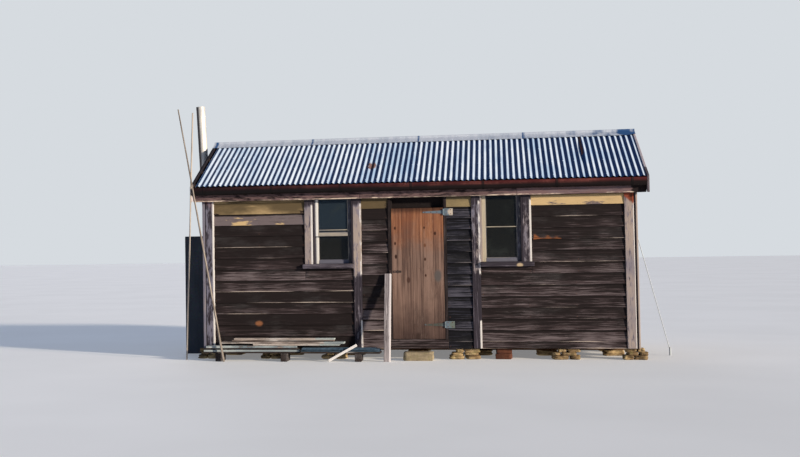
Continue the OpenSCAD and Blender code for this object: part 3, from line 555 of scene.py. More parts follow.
# Tone, paint left and pale lower edge of each course of the front, from the ground up. The low tones of the
# painted top courses on the left and beside the door are painted shade; the raised tones of the low courses
# beside the door are painted light against the plank's shadow.
wallLooks = {
    "left": [(0.22, 0, 0.15), (0.27, 0, 0.2), (0.25, 0, 0.25), (0.35, 0, 0.4), (0.25, 0, 0.4), (0.45, 0, 0.9),
             (0.45, 0, 0.2), (0.35, 0, 0.1), (0.2, 0, 0.2), (0.15, 0, 0.4), (0.2, 0, 0.1), (0.8, 0.3, 0.3),
             (0.25, 0.85, 0), (0.3, 1.2, 0)],
    "right": [(0.5, 0, 0.6), (0.45, 0, 0.4), (0.45, 0, 0.2), (0.4, 0, 0.4), (0.5, 0, 0.3), (0.5, 0, 0.2),
              (0.35, 0, 0.3), (0.4, 0, 0.3), (0.35, 0, 0.4), (0.3, 0, 0.2), (0.3, 0, 0.4), (0.3, 0, 0.2),
              (0.25, 0.12, 0.3), (0.9, 0.8, 0), (0.9, 1.2, 0)],
    "byDoor": [(0.6, 0, 0.5), (0.65, 0, 0.8), (0.65, 0, 0.8), (0.55, 0, 0.4), (0.35, 0, 0.2), (0.2, 0, 0.1),
               (0.35, 0, 0.3), (0.4, 0, 0.5), (0.4, 0, 0.2), (0.35, 0, 0.4), (0.3, 0, 0.3), (0.4, 0, 0.5),
               (0.2, 0, 0.2), (0, 0.7, 0), (0, 1.2, 0)],
    "byHinge": [(0.3, 0, 0), (0.3, 0, 0.3), (0.4, 0, 0.4), (0.4, 0, 0.2), (0.4, 0, 0.4), (0.5, 0, 0.3),
                (0.5, 0, 0.5), (0.4, 0, 0.2), (0.4, 0, 0.4), (0.4, 0, 0.3), (0.5, 0, 0.5), (0.5, 0, 0.3),
                (0.5, 0.2, 0.5), (0.5, 0.9, 0), (0.4, 1.2, 0)],
}


def courseLines(first, course, top):
    lines = [hut["baseZ"], hut["baseZ"] + first]
    while lines[-1] < top:
        lines.append(lines[-1] + course)
    return lines


def isSplit(foot, front):        # whether the broken edge is on the board that starts here
    return front and abs(foot - wallBoards["split"][2]) < 0.08


def boardLook(rng, tone, painted, pale, foot, x0, front):        # how one weatherboard has worn, with painted shade under the next board
    shade = min(1, max(0, tone + rng.uniform(-0.08, 0.08)))
    seed = rng.uniform(0, 50)
    start, end = wallBoards["split"][:2]
    broken = isSplit(foot, front)

    def coat(co):
        here = 0.6 + uneven(co.x * 1.1, seed, 0)
        worn = fade(co.z, wallBoards["wornFoot"]) * pale * here * 1.6
        x = x0 + co.x
        raw = 0.0
        if broken and start - 0.05 < x < end + 0.05:
            raw = fade(co.z, 0.06) * (0.85 + 0.8 * uneven(x * 23, 3, 0))
        underButtShade = max(0.0, co.z - wallBoards["shadeFrom"]) / 0.05 * 1.6        # painted shade under the next board's edge
        # the tone also falls towards the board's top, partly painted shade
        tone = shade + 0.18 * uneven(co.x * 4, seed, 5) + 0.1 - co.z - underButtShade
        left = painted + 0.9 * uneven(x * 2.3, foot, 1) * fade(co.z, 0.12)
        return (tone, left if painted else 0.0, worn, raw)
    return coat


def tornEdge(foot, x0, front):        # a little uneven, and broken where the board has split
    start, end = wallBoards["split"][:2]
    broken = isSplit(foot, front)

    def torn(x, seed):
        rip = 0.0012 * uneven(x * 11, seed, 0)
        if broken and start < x0 + x < end:
            rip += 0.016 * abs(uneven(x * 9, 7, 0)) + 0.006
        return rip
    return torn


# Lays the courses of one wall panel. The panel's own frame has x along the wall and -y outwards.
def layCourses(bm, nails, rng, place, top, lines, span, looks=None, front=False):
    butt, course, lap = wallBoards["butt"], wallBoards["course"], wallBoards["lap"]
    taper = butt - wallBoards["top"]
    out = place.to_3x3() @ Vector((0, -1, 0))
    for i, foot in enumerate(lines[:-1]):
        head = min(lines[i + 1] + lap, top)
        width = head - foot
        if width <= wallBoards["narrow"]:
            continue
        feather = (butt - taper * min(1.0, width / (course + lap)), wallBoards["behind"])
        bands = [up for up in (wallBoards["wornFoot"], wallBoards["shadeFrom"]) if up < width - 0.01]
        for a, b in span(foot, head):
            pieces = max(1, math.ceil((b - a) / wallBoards["longest"]))
            joints = [a + (b - a) * (k + rng.uniform(-0.18, 0.18)) / pieces for k in range(1, pieces)]
            for left, right in zip([a, *joints], [*joints, b]):
                long = right - left
                part = board(long - wallBoards["joint"], butt + rng.uniform(-0.001, 0.001), width, rng,
                             every=wallBoards["fine" if front else "coarse"], warp=wallBoards["warp"],
                             feather=feather, torn=tornEdge(foot, left, front), bands=bands)
                if looks:
                    tone, painted, pale = looks[i]
                else:
                    tone, painted, pale = rng.uniform(0.3, 0.7), 0, rng.choice((0, 0.3, 0.6))
                look = boardLook(rng, tone, painted, pale, foot, left, front)
                joinPart(bm, part, place @ moved(left, 0, foot), rng.uniform(0, 60), look)
                count = max(1, round(long / wallBoards["stud"]))
                up = wallBoards["nailUp"] + rng.uniform(-0.004, 0.004)
                face = -butt + taper * up / course + 0.0004
                inset = wallBoards["nailIn"]
                gap = (long - 2 * inset) / count
                spots = [place @ Vector((left + inset + gap * k, face, foot + up)) for k in range(count + 1)]
                if width > wallBoards["nailFrom"]:
                    nailHeads(nails, rng, spots, out)


def besideWindow(a, b, c, wholeFirst):        # boards below a window run on under it
    def spans(foot, head):
        if head <= hut["sillUnder"]:
            return [(a, c)]
        if foot >= hut["sillUnder"] - 0.02:
            return [(a, b)] if wholeFirst else [(b, c)]
        return [(a, b), (b, c)]
    return spans


def straight(x0, x1):
    return lambda foot, head: [(x0, x1)]


def trimUnder(shape, x0, x1):        # shortens the boards that pass under a window's sill
    for v in shape.verts:
        inside = x0 + 0.001 < v.co.x < x1 - 0.001
        if inside and v.co.z > hut["sillUnder"] and v.co.y < -hut["halfDep"] + 0.01:
            v.co.z = hut["sillUnder"]


def buildFrontBoards(rng, nails, even):
    front = moved(0, -hut["halfDep"], 0)
    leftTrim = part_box("left_window_frame")[0].x + 0.03
    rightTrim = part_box("right_window_frame")[1].x - 0.03
    leftBatten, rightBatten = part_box("cover_battens")[0].x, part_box("cover_battens")[1].x
    doorLow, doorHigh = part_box("door_frame")
    wide = courseLines(wallBoards["leftFirst"], wallBoards["leftCourse"], frontTop)
    # Name, courses, span, looks, timber, the node it stands for, and the sill it passes under
    fields = (
        ("leftWeatherboards", wide, besideWindow(-hut["boardX"], leftTrim, leftBatten, True), "left",
         wallWood, ["front_boards_left"], (leftTrim, leftBatten)),
        ("doorLeftWeatherboards", even, straight(leftBatten + hut["trimW"], doorLow.x), "byDoor", wallWood,
         ["front_boards_by_door"], None),
        ("doorRightWeatherboards", even, straight(doorHigh.x, rightBatten - hut["trimW"]), "byHinge",
         shadeWood, (), None),
        ("rightWeatherboards", even, besideWindow(rightBatten, rightTrim, hut["boardX"], False), "right",
         wallWood, ["front_boards_right"], (rightBatten, rightTrim)),
    )
    for name, lines, span, looks, wood, stands, sill in fields:
        shape = newShape()
        layCourses(shape, nails, rng, front, frontTop, lines, span, wallLooks[looks], bool(sill))
        if sill:
            trimUnder(shape, *sill)
        finishPiece(name, shape, wood, stands=stands)


def buildSideBoards(rng, nails, even):
    shape = newShape()
    back = turned(180) @ moved(0, -hut["halfDep"], 0)
    layCourses(shape, nails, rng, back, frontTop, even, straight(-hut["boardX"], hut["boardX"]))
    finishPiece("backWeatherboards", shape, sideWood, stands=["back_boards"])
    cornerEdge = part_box("left_boards")[1].y
    under, half = wallBoards["underRafters"], wallBoards["alcoveHalf"]
    across, rise = math.cos(hut["pitch"]), math.sin(hut["pitch"])
    top = roofZ(0, under)
    gable = courseLines(wallBoards["first"], wallBoards["course"], top)
    for name, side in (("left", -1), ("right", 1)):
        def gableSpan(foot, head, side=side):
            overEaves = foot - hut["eaveZ"] + under / across
            edge = min(cornerEdge, hut["roofRun"] - overEaves / math.tan(hut["pitch"]))
            if side < 0 and foot < wallBoards["alcoveTop"] - 0.02:        # beside the fireplace alcove
                return [(-edge, -half), (half, edge)]
            return [(-edge, edge)] if edge > 0.02 else []
        shape = newShape()
        layCourses(shape, nails, rng, turned(90 * side) @ moved(0, -hut["halfLen"], 0), top, gable, gableSpan)
        for way in (-1, 1):        # cut to the roof's slope
            cutAway(shape, (0, 0, top), (0, way * rise, across))
        if side < 0:        # the course over the alcove sits on its top
            for v in shape.verts:
                if abs(v.co.y) < half - 0.001:
                    v.co.z = max(v.co.z, wallBoards["alcoveTop"] + 0.002)
        finishPiece(name + "EndWeatherboards", shape, sideWood, stands=[name + "_boards"])


def buildWalls():
    rng = random.Random(wallBoards["seed"])
    even = courseLines(wallBoards["first"], wallBoards["course"], frontTop)
    nails = newShape()
    buildFrontBoards(rng, nails, even)
    buildSideBoards(rng, nails, even)
    finishPiece("boardNails", nails, darkIron)


print("weatherboards")
buildWalls()


# Corner boards and battens

# The left and right boards' bright band (worn paint with a painted highlight), tone, paint left and red oxide
corners = {"w": 0.118, "seed": 7, "oxideFrom": 1.99, "band": 0.02, "whiteFrom": 0.015,
           "left": (0.02, 0.1, 0.55, 0.5), "right": (0.006, 0.6, 0.62, 0.9)}


def oxideTop(amount):        # old red paint left at the head of a corner board
    def fresh(co):
        up = hut["baseZ"] + co.x - corners["oxideFrom"] - 1.2 * abs(co.z - corners["w"] * 0.8)
        return amount * ramp(up, 0.1)
    return fresh


def sideEdge(co):        # the far side of the right corner's edge is white, white paint with a painted highlight; the near side is bare and dark, painted shade beside the front board
    return (0.9, 0.9, 0.6, 0) if co.z > corners["whiteFrom"] else (0, 0, 0, 0)


def buildCorners():
    rng = random.Random(corners["seed"])
    t, w = hut["trimT"], corners["w"]
    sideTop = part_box("corner_boards")[1].z
    shape = newShape()
    for sx in (-1, 1):
        band, tone, left, oxide = corners["left" if sx < 0 else "right"]
        for sy in (-1, 1):
            xs = sorted((sx * hut["boardX"], sx * (hut["boardX"] + w)))
            ys = sorted((sy * hut["halfDep"], sy * wallFace))
            look = brightEdge(w, band, tone, left, oxideTop(oxide) if sy < 0 else None)
            squareBoard(shape, rng, (xs[0], ys[0], hut["baseZ"]), (xs[1], ys[1], frontTop), "z", look,
                        bands=edgeBands(w, band))
            xs = sorted((sx * hut["halfLen"], sx * (hut["halfLen"] + t)))
            ys = sorted((sy * (wallFace - w), sy * wallFace))
            look = sideEdge if sx > 0 and sy < 0 else (0.2, 0.8 if sy < 0 else 0.5, 0, 0)
            squareBoard(shape, rng, (xs[0], ys[0], hut["baseZ"]), (xs[1], ys[1], sideTop), "z", look,
                        bands=(corners["whiteFrom"] - 0.002, corners["whiteFrom"] + 0.002))
    finishPiece("cornerBoards", shape, trimWood, stands=["corner_boards"])


# Heights from a batten's foot, but the dark head's length from its top
battens = {"bareTo": 1.0, "dull": (0.35, 1.05), "darkHead": 0.16, "warp": 0.003}


# The lower part of a batten has lost paint, and its bright edge, worn paint with a painted highlight, is
# missing over the middle of the height; its dark head is painted shade with stain.
def battenLook(w, tone, left):
    def coat(co):
        if co.x > frontTop - hut["baseZ"] - battens["darkHead"] + 0.3 * co.z:
            return (0.1, 0.1, 0, 0.25)
        bright = co.z > w - corners["band"] - 0.002 and not battens["dull"][0] <= co.x <= battens["dull"][1]
        worn = 1.2 if bright else 0.0
        if co.x > battens["bareTo"]:
            return (tone, left, worn, 0)
        return (0.3, left * 0.6, worn, 0)
    return coat


def buildBattens():
    rng = random.Random(corners["seed"] + 1)
    shape = newShape()
    low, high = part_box("cover_battens")
    w = hut["trimW"]
    for x, tone, left in ((low.x, 0.75, 0.62), (high.x - w, 0.3, 0.5)):
        squareBoard(shape, rng, (x, low.y, low.z), (x + w, high.y, high.z), "z", battenLook(w, tone, left),
                    warp=battens["warp"], bands=edgeBands(w, corners["band"]))
    finishPiece("coverBattens", shape, trimWood, stands=["cover_battens"])


print("corner boards and battens")
buildCorners()
buildBattens()


# Windows

windows = {"leftX": -1.1, "rightX": 1.188, "w": 0.515, "lining": 0.025, "liningDeep": 0.1,
           "liningBack": 0.002, "drop": 0.012, "sash": 0.048, "sashT": 0.035, "meeting": 0.405,
           "bar": 0.47, "barHalf": 0.006, "rail": 0.085, "putty": 0.009, "puttyFrom": 0.008,
           "puttyTo": 0.016, "darkHead": 0.14, "seed": 19}


def sashFrame(shape, rng, x, y, z, h, stile, bars=()):
    half, s, t, p = windows["w"] / 2 - 0.0003, windows["sash"], windows["sashT"], windows["putty"]
    left, right, bar = x - half + s, x + half - s, windows["barHalf"]
    squareBoard(shape, rng, (x - half, y, z), (left, y + t, z + h), "z", stile, 0.003, 0.0004,
                edgeBands(s, s * 0.6))
    # the right stile is darker: painted shade
    squareBoard(shape, rng, (right, y, z), (x + half, y + t, z + h), "z", (0.3, 0.45, 0, 0), 0.003, 0.0004)
    # the lower sash's bottom rail is dark: painted shade
    for foot, tone in ((z, 0.55 if z > hut["sillTop"] + 0.1 else 0.0), (z + h - s, 0.3)):
        squareBoard(shape, rng, (left, y + 0.001, foot), (right, y + t - 0.001, foot + s), "x",
                    (tone, 0.8, 0, 0), 0.003, 0.0004)
    for up in bars:
        squareBoard(shape, rng, (left, y + bar, z + up - bar), (right, y + t - bar, z + up + bar), "x",
                    (0.6, 0.9, 0.3, 0), 0.003, 0.0003)
    for x0, x1, z1, run in ((left, left + p, z + h - s, "z"), (right - p, right, z + h - s, "z"),
                            (left + p, right - p, z + s + p, "x")):
        squareBoard(shape, rng, (x0, y + windows["puttyFrom"], z + s), (x1, y + windows["puttyTo"], z1), run,
                    (0.4, 1.0, 0.1, 0), 0.003, 0.0002)


def sillPart(name, side):        # falls towards its nose and is a little uneven
    low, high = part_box(name + "_window_frame")
    part = boxPart((low.x, low.y, hut["sillUnder"]), (high.x, -wallFace, hut["sillTop"]))
    for v in part.verts:
        if v.co.z > hut["sillTop"] - 0.001 and v.co.y < -wallFace - 0.01:
            v.co.z -= windows["drop"]
    divide(part, edgesAlong(part, 0), 13)
    chamfer(part, [e for e in part.edges if e.calc_face_angle(0) > 0.9], 0.005, 2)
    for v in part.verts:
        v.co.z += uneven(v.co.x * 5, side, 0) * 0.0025
    return part


def buildSurround(rng, name, x, side, top):
    half, ln = windows["w"] / 2, windows["lining"]
    edge, w, band = half + ln, hut["trimW"], corners["band"]
    outY, inY = -wallFace + windows["liningBack"], -hut["halfDep"] + windows["liningDeep"]
    shape = newShape()
    for sx in (-1, 1):
        xs = sorted((x + sx * half, x + sx * edge))
        # the linings are dark, painted shade, all but the right window's left one
        squareBoard(shape, rng, (xs[0], outY, hut["sillTop"]), (xs[1], inY, top + ln), "z",
                    (0.5, 1.0, 0, 0) if sx < 0 < side else (0.1, 0.25, 0, 0))
    squareBoard(shape, rng, (x - half, outY, top), (x + half, inY, top + ln), "x", (0.5, 0.6, 0, 0))
    xs = sorted((x + side * edge, x + side * (edge + w)))
    tone, left = (0.6, 0.6) if side < 0 else (0.3, 0.5)
    look = brightEdge(w, band, tone, left, head=frontTop - hut["sillUnder"] - windows["darkHead"])
    squareBoard(shape, rng, (xs[0], -wallFace, hut["sillUnder"]), (xs[1], -wallFace + hut["trimT"], frontTop),
                "z", look, warp=0.002, bands=edgeBands(w, band))
    look = (0.4 - 0.05 * side, 0.28 - 0.1 * side, 0.05, 0)
    joinPart(shape, sillPart(name, side), slide=3 + side, coat=look)
    squareBoard(shape, rng, (x - edge, -wallFace + 0.0005, hut["sillUnder"]), (x + edge, inY, hut["sillTop"]),
                "x", (0.4, 0.2, 0, 0))
    finishPiece(name + "WindowSurround", shape, trimWood, stands=[name + "_window_frame"])


def buildWindows():
    rng = random.Random(windows["seed"])
    outer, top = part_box("left_window_sashes")[0].y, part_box("left_window_sashes")[1].z
    buildSurround(rng, "left", windows["leftX"], -1, top)
    buildSurround(rng, "right", windows["rightX"], 1, top)
    shape = newShape()
    upper = hut["sillTop"] + windows["meeting"] - windows["sash"] / 2
    # the left stiles' bright band: worn paint with a painted highlight
    stile = brightEdge(windows["sash"], windows["sash"] * 0.6, 0.3, 0.8)
    sashFrame(shape, rng, windows["leftX"], outer, upper, top - upper, stile, (windows["rail"],))
    sashFrame(shape, rng, windows["leftX"], outer + windows["sashT"] + 0.0006, hut["sillTop"],
              windows["meeting"] + windows["sash"] / 2, stile)
    finishPiece("leftSashes", shape, sashWood, stands=["left_window_sashes"])
    shape = newShape()
    sashFrame(shape, rng, windows["rightX"], outer, hut["sillTop"], top - hut["sillTop"], (0.9, 1.0, 0.1, 0),
              (windows["bar"],))
    finishPiece("rightSash", shape, sashWood, stands=["right_window_sash"])


print("windows")
buildWindows()


# Door

door = {"n": 5, "gap": 0.002, "jamb": 0.04, "clear": 0.005, "ledge": 0.11, "stop": 0.015,
        "stopFrom": 0.0303, "stopTo": 0.0497, "seat": 0.0003, "nailRows": (0.03, 0.08), "seed": 5,
        "tones": (0.55, 0.35, 0.5, 0.7, 0.45), "hingeZ": (0.471, 1.999), "boltY": -1.384, "boltR": 0.0065,
        "strapBolts": (0.17, 0.25, 0.33), "plateBolts": (0.455, 0.515), "plateHalf": 0.028}


def boltHeads(rng, name, body, xs, ups=(0,)):
    shape = newShape()
    places = [(x, door["boltY"], z + up) for x in xs for z in door["hingeZ"] for up in ups]
    nailHeads(shape, rng, places, radius=door["boltR"], proud=0.003)
    finishPiece(name, shape, darkIron, body=body)


def buildDoor():
    rng = random.Random(door["seed"])
    low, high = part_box("door_boards")
    ledgeLow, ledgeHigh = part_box("door_ledges")
    near, far = door["nailRows"]
    rows = (ledgeLow.z + near, ledgeLow.z + far, (ledgeLow.z + ledgeHigh.z) / 2, ledgeHigh.z - far,
            ledgeHigh.z - near)
    shape, nails, spots = newShape(), newShape(), []
    w = (high.x - low.x - (door["n"] - 1) * door["gap"]) / door["n"]
    for i, tone in enumerate(door["tones"]):
        x = low.x + i * (w + door["gap"])
        squareBoard(shape, rng, (x, low.y, low.z), (x + w, high.y, high.z), "z", (tone, 0, 0, 0), 0.0035,
                    0.0005)
        for z in rows:
            across, up = rng.uniform(-0.02, 0.02), rng.uniform(-0.006, 0.006)
            spots.append((x + w / 2 + across, low.y + door["seat"], z + up))
    finishPiece("doorBoards", shape, doorWood, body="door", stands=["door_boards"])
    nailHeads(nails, rng, spots)
    finishPiece("doorNails", nails, darkIron, body="door")
    shape = newShape()
    low, high = ledgeLow, ledgeHigh
    for z in (low.z, (low.z + high.z - door["ledge"]) / 2, high.z - door["ledge"]):
        squareBoard(shape, rng, (low.x, low.y + door["seat"], z), (high.x, high.y, z + door["ledge"]), "x",
                    (0.5, 0, 0, 0), 0.006)
    finishPiece("doorLedges", shape, insideWood, body="door", stands=["door_ledges"])
    boltHeads(rng, "strapBolts", "door", door["strapBolts"])


def buildDoorway():
    rng = random.Random(door["seed"] + 1)
    shape = newShape()
    low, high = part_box("door_frame")
    jamb, stop = door["jamb"], door["stop"]
    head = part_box("door_boards")[1].z + door["clear"]
    for x in (low.x, high.x - jamb):
        squareBoard(shape, rng, (x, low.y, low.z), (x + jamb, high.y, high.z), "z", (0.35, 0.15, 0, 0))
    # the head board is dark: partly painted shade over the door
    squareBoard(shape, rng, (low.x + jamb, high.y - jamb, head), (high.x - jamb, high.y, high.z), "x",
                (0.1, 0, 0, 0))
    for x in (low.x + jamb, high.x - jamb - stop):
        squareBoard(shape, rng, (x, low.y + door["stopFrom"], low.z),
                    (x + stop, low.y + door["stopTo"], high.z), "z", (0.2, 0, 0, 0))
    finishPiece("doorJambs", shape, wallWood, stands=["door_frame"])
    shape = newShape()
    low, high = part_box("threshold_board")
    squareBoard(shape, rng, low, high, "x", (0.45, 0, 0, 0), 0.004, 0.002)
    finishPiece("thresholdBoard", shape, wallWood, stands=["threshold_board"])
    boltHeads(rng, "plateBolts", "hut", door["plateBolts"], (-door["plateHalf"], door["plateHalf"]))


print("door")
buildDoor()
buildDoorway()


# Roof

roof = {"pitch": 0.0762, "depth": 0.017, "t": 0.0012, "cover": 10, "lift": 0.0015, "steps": 14, "rows": 16,
        "left": -3.0289, "right": 3.067, "eaveBack": 0.015, "slip": 0.004, "seed": 23,
        "purlins": (0.085, 0.572, 1.059, 1.546), "washer": 0.009, "washerTop": 0.006,
        "washerT": 0.0016, "nailR": 0.0048,
        "open": 7, "openLift": 0.026, "rustAt": (3, 0.15, 0.6)}        # sheets counted from the left
sheetTop = roof["depth"] + roof["lift"] * 1.05 + roof["t"]


def slopeMatrix(back):
    place = moved(0, -hut["roofRun"], hut["eaveZ"]) @ turned(math.degrees(hut["pitch"]), "X")
    return Matrix.Scale(-1, 4, (0, 1, 0)) @ place if back else place


def sheetWear(seed, wide, run, index, back):
    rusted, rustX, rustY = roof["rustAt"]
    lapOpen = roof["open"]

    def wear(co):
        turn = 2 * math.pi * co.x / roof["pitch"]
        valley = 0.5 + 0.5 * math.cos(turn)
        purlin = min(abs(co.y - p) for p in roof["purlins"])
        edge = min(co.x, wide - co.x)
        rust = fade(purlin, 0.04) * (1 - valley) * 0.16 + fade(edge, 0.03) * 0.12
        # painted shade and sky reflection lie on the flank that faces left, away from the sun, less of it in
        # the valley
        dark = 1.1 * max(0, math.sin(turn) + 0.45) + 0.65 * max(0, math.cos(turn)) + fade(co.y, 0.06) * 0.25
        if not back and index == rusted:
            rust += fade(math.hypot(co.x - rustX, (co.y - rustY) * 0.6), 0.14) * 1.1
        if not back and co.y > run * 0.45 and index in (lapOpen, lapOpen - 1):
            gap = co.x if index == lapOpen else wide - co.x
            # painted shade in the open lap, with rust
            dark += fade(gap, 0.05) * 2
            rust += fade(gap, 0.06)
        if back:
            dark *= 0.5
        elif index == 0 and co.x < 0.012:        # the clean cut edge at the left verge
            dark = 0
        return (0.5 + 0.5 * uneven(seed, 1, 2), rust, dark, 0)
    return wear


def roofNail():        # a washer with a round head
    nail = bmesh.new()
    bmesh.ops.create_cone(nail, cap_ends=True, segments=10, radius1=roof["washer"], radius2=roof["washerTop"],
                          depth=roof["washerT"])
    bmesh.ops.create_uvsphere(nail, u_segments=8, v_segments=5, radius=roof["nailR"],
                              matrix=moved(0, 0, 0.001))
    return nail


def buildRoof(name, node, back):
    rng = random.Random(roof["seed"] + back)
    run = (hut["roofRun"] - roof["eaveBack"]) / math.cos(hut["pitch"])
    shape, nails = newShape(), newShape()
    pitch, lift, place = roof["pitch"], roof["lift"], slopeMatrix(back)
    cover, total = roof["cover"] * pitch, roof["right"] - roof["left"]
    whole = cover + pitch / 2
    for i in range(math.ceil((total - pitch / 2 - 0.001) / cover)):
        wide = min(whole, total - i * cover)
        part = bmesh.new()
        points = flatSheet(part, round(wide / pitch * roof["steps"]), roof["rows"], wide, run)
        seed = rng.uniform(0, 80)
        slip = rng.uniform(0, roof["slip"])
        for v, u, w in points:
            wave = roof["depth"] / 2 * (1 - math.cos(2 * math.pi * u / pitch))
            dent = uneven(u * 1.6, w * 1.9, seed) * 0.0012 * math.sin(math.pi * w / run)
            raised = 0.0
            if not back and i == roof["open"]:        # this sheet's lap stands open below the ridge
                bulge = math.sin(math.pi * (w / run - 0.3) / 0.6)
                raised = roof["openLift"] * fade(u, 0.2) * max(0, bulge)
            v.co = (u, w + slip * (1 - w / run), wave + lift * (whole - u) / cover + dent + raised)
        thicken(part, -roof["t"])
        faceOut(part)
        left = roof["left"] + i * cover
        look = sheetWear(seed, wide, run, i, back)
        joinPart(shape, part, place @ moved(left, 0, 0), seed, look, flip=bool(back))
        for k in range(i % 2, int(wide / pitch), 2):
            for p in roof["purlins"]:
                nail = roofNail()
                crest = (k + 0.5) * pitch
                top = roof["depth"] + lift * (whole - crest) / cover + roof["t"] + roof["washerT"] / 2
                at = moved(left + crest, p + rng.uniform(-0.012, 0.012), top)
                joinPart(nails, nail, place @ at, k, (0.5, 0.35, 0, 0), flip=bool(back))
    finishPiece(name, shape, roofIron, stands=[node], smooth=40)
    finishPiece(name + "Nails", nails, roofIron, smooth=40)


print("roof sheets")
buildRoof("frontSheets", "front_roof_sheets", 0)
buildRoof("backSheets", "back_roof_sheets", 1)


ridge = {"wing": 0.15, "creases": (0.11, 0.06), "roll": 0.018, "rollTurn": 128, "rollSteps": 14, "n": 4,
         "lap": 0.03, "segments": 30, "seed": 3, "bentFrom": 2.86, "bentRun": 0.24, "joint": 0.01}


def extrudeRun(part, line, x0, x1, segments):        # draws a profile in y and z along x
    chain = [part.verts.new((x0, y, z)) for y, z in line]
    edges = [part.edges.new(pair) for pair in zip(chain, chain[1:])]
    for _ in range(segments):
        edges = drawOut(part, edges, ((x1 - x0) / segments, 0, 0))
    faceOut(part)


def ridgeLine(lift):        # the profile from the front wing over the roll to the back wing
    wing, slope = ridge["wing"], math.tan(hut["pitch"])
    apex = roofZ(0, -(sheetTop + 0.0003 + lift))
    rollZ = roofZ(0, -(sheetTop + 0.0003)) + ridge["roll"] * 0.6
    r = ridge["roll"] + lift - roof["t"] / 2
    line = [(-y, apex - y * slope) for y in (wing, *ridge["creases"])]
    for k in range(ridge["rollSteps"] + 1):
        a = math.radians(-ridge["rollTurn"] + 2 * ridge["rollTurn"] * k / ridge["rollSteps"])
        line.append((r * math.sin(a), rollZ + r * math.cos(a)))
    return line + [(-y, z) for y, z in line[2::-1]]


def buildRidge():
    rng = random.Random(ridge["seed"])
    low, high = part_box("ridge_cap")
    full, wing = high.x - low.x, ridge["wing"]
    shape = newShape()
    for i in range(ridge["n"]):
        lift, lap = (i % 2) * roof["lift"], (i % 2) * ridge["lap"]
        x0 = max(low.x, low.x + i * full / ridge["n"] - lap)
        x1 = min(high.x, low.x + (i + 1) * full / ridge["n"] + lap)
        part = bmesh.new()
        extrudeRun(part, ridgeLine(lift), x0, x1, ridge["segments"])
        thicken(part, roof["t"])
        seed = rng.uniform(0, 50)
        for v in part.verts:
            side = abs(v.co.y) / wing
            v.co.z += abs(uneven(v.co.x * 2.3, seed, v.co.y * 3)) * 0.004 * side
            bent = max(0, v.co.x - ridge["bentFrom"]) / ridge["bentRun"]        # the last length is bent up
            dent = uneven(v.co.x * 13, v.co.y * 16, 4)
            v.co.z += bent * (0.010 * side + 0.012 * dent * side)

        def wear(co):
            spot = 0.5 + uneven(co.x * 9, co.y * 9, 2)
            end = fade(abs(co.x - (low.x + 0.05)), 0.05)
            drift = 0.65 * ramp(co.x, 2) * spot
            joint = 0.9 if i % 2 and min(co.x - x0, x1 - co.x) < ridge["joint"] else 0
            # painted shade on the bent-up end of the last length
            bent = ramp(co.x - ridge["bentFrom"] + 0.05, 0.1) * (0.4 + spot * 1.4)
            return (0.5, 0.12, max(end, drift, joint, bent) if co.y < 0.01 else 0, 0)
        joinPart(shape, part, slide=seed, coat=wear)
    finishPiece("ridgeCapping", shape, ridgeIron, stands=["ridge_cap"], smooth=40)


print("ridge capping")
buildRidge()


# Barge boards, fascia and gutter

eaves = {"bargeH": 0.2, "tail": 0.02, "fasciaT": 0.025, "seed": 13, "joints": (-0.72, 1.4), "gap": 0.002,
         "brokenAt": -0.03, "bittenHalf": 0.06, "bareHalf": 0.07, "wornTo": 0.0135, "darkFrom": 2.9}


def buildBarges():
    rng = random.Random(eaves["seed"])
    tail, deep = hut["roofRun"] + eaves["tail"], eaves["bargeH"]
    across, rise = math.cos(hut["pitch"]), math.sin(hut["pitch"])
    for name, sx in (("left", -1), ("right", 1)):
        low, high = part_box(name + "_barge_boards")

        def look(co, sx=sx):
            end = fade(co.x, 0.02)
            if sx < 0:
                return (0.35 + end, 0.2 + end * 0.9, end, 0)
            return (0.7, 0.25 if co.x < 0.24 else 0.9, 0, 0)
        shape = newShape()
        # the board's own x goes up the slope, its own z becomes plumb, so both its ends are cut plumb
        flat = Matrix(((0, 1, 0, high.x), (across, 0, 0, -tail),
                       (rise, 0, 1 / across, roofZ(tail, -sheetTop) - deep / across), (0, 0, 0, 1)))
        for sy in (-1, 1):
            part = board((tail - 0.001) / across, high.x - low.x, deep, rng, 0.004, 0.0008, every=0.12)
            place = flat if sy < 0 else Matrix.Scale(-1, 4, (0, 1, 0)) @ flat
            coat = look if sy < 0 else (0.5, 0.4, 0, 0)
            joinPart(shape, part, place, rng.uniform(0, 50), coat, flip=sy < 0)
        finishPiece(name + "BargeBoards", shape, bargeWood, stands=[name + "_barge_boards"])


# How one length of fascia looks: pale along its lower edge, bitten and bare at one place; the right-hand
# length is lighter, painted light, and its right end is dark, painted shade
def fasciaLook(start, front):
    def coat(co):
        x = co.x + start
        # painted shade: the fascia's right end is dark
        if x > eaves["darkFrom"]:
            return (-0.6, 0, 0, 0)
        here = uneven(x * 1.1, 2, 0)
        worn = 0.8 + here if front and co.z < eaves["wornTo"] else 0.0
        ripped = fade(abs(x - eaves["brokenAt"]), eaves["bareHalf"]) if front else 0.0
        # the right-hand length is lighter: painted light
        return (0.75 if start > 1 else 0.4 + here * 0.3, 0.55, worn + ripped * 0.6, 0)
    return coat


def fasciaEdge(start, front):
    def torn(x, seed):
        close = fade(abs(x + start - eaves["brokenAt"]), eaves["bittenHalf"]) if front else 0.0
        bite = close * 0.02 * (0.5 + uneven(x * 40, 1, 1))
        return bite + 0.0015 * uneven(x * 8, seed, 0)
    return torn


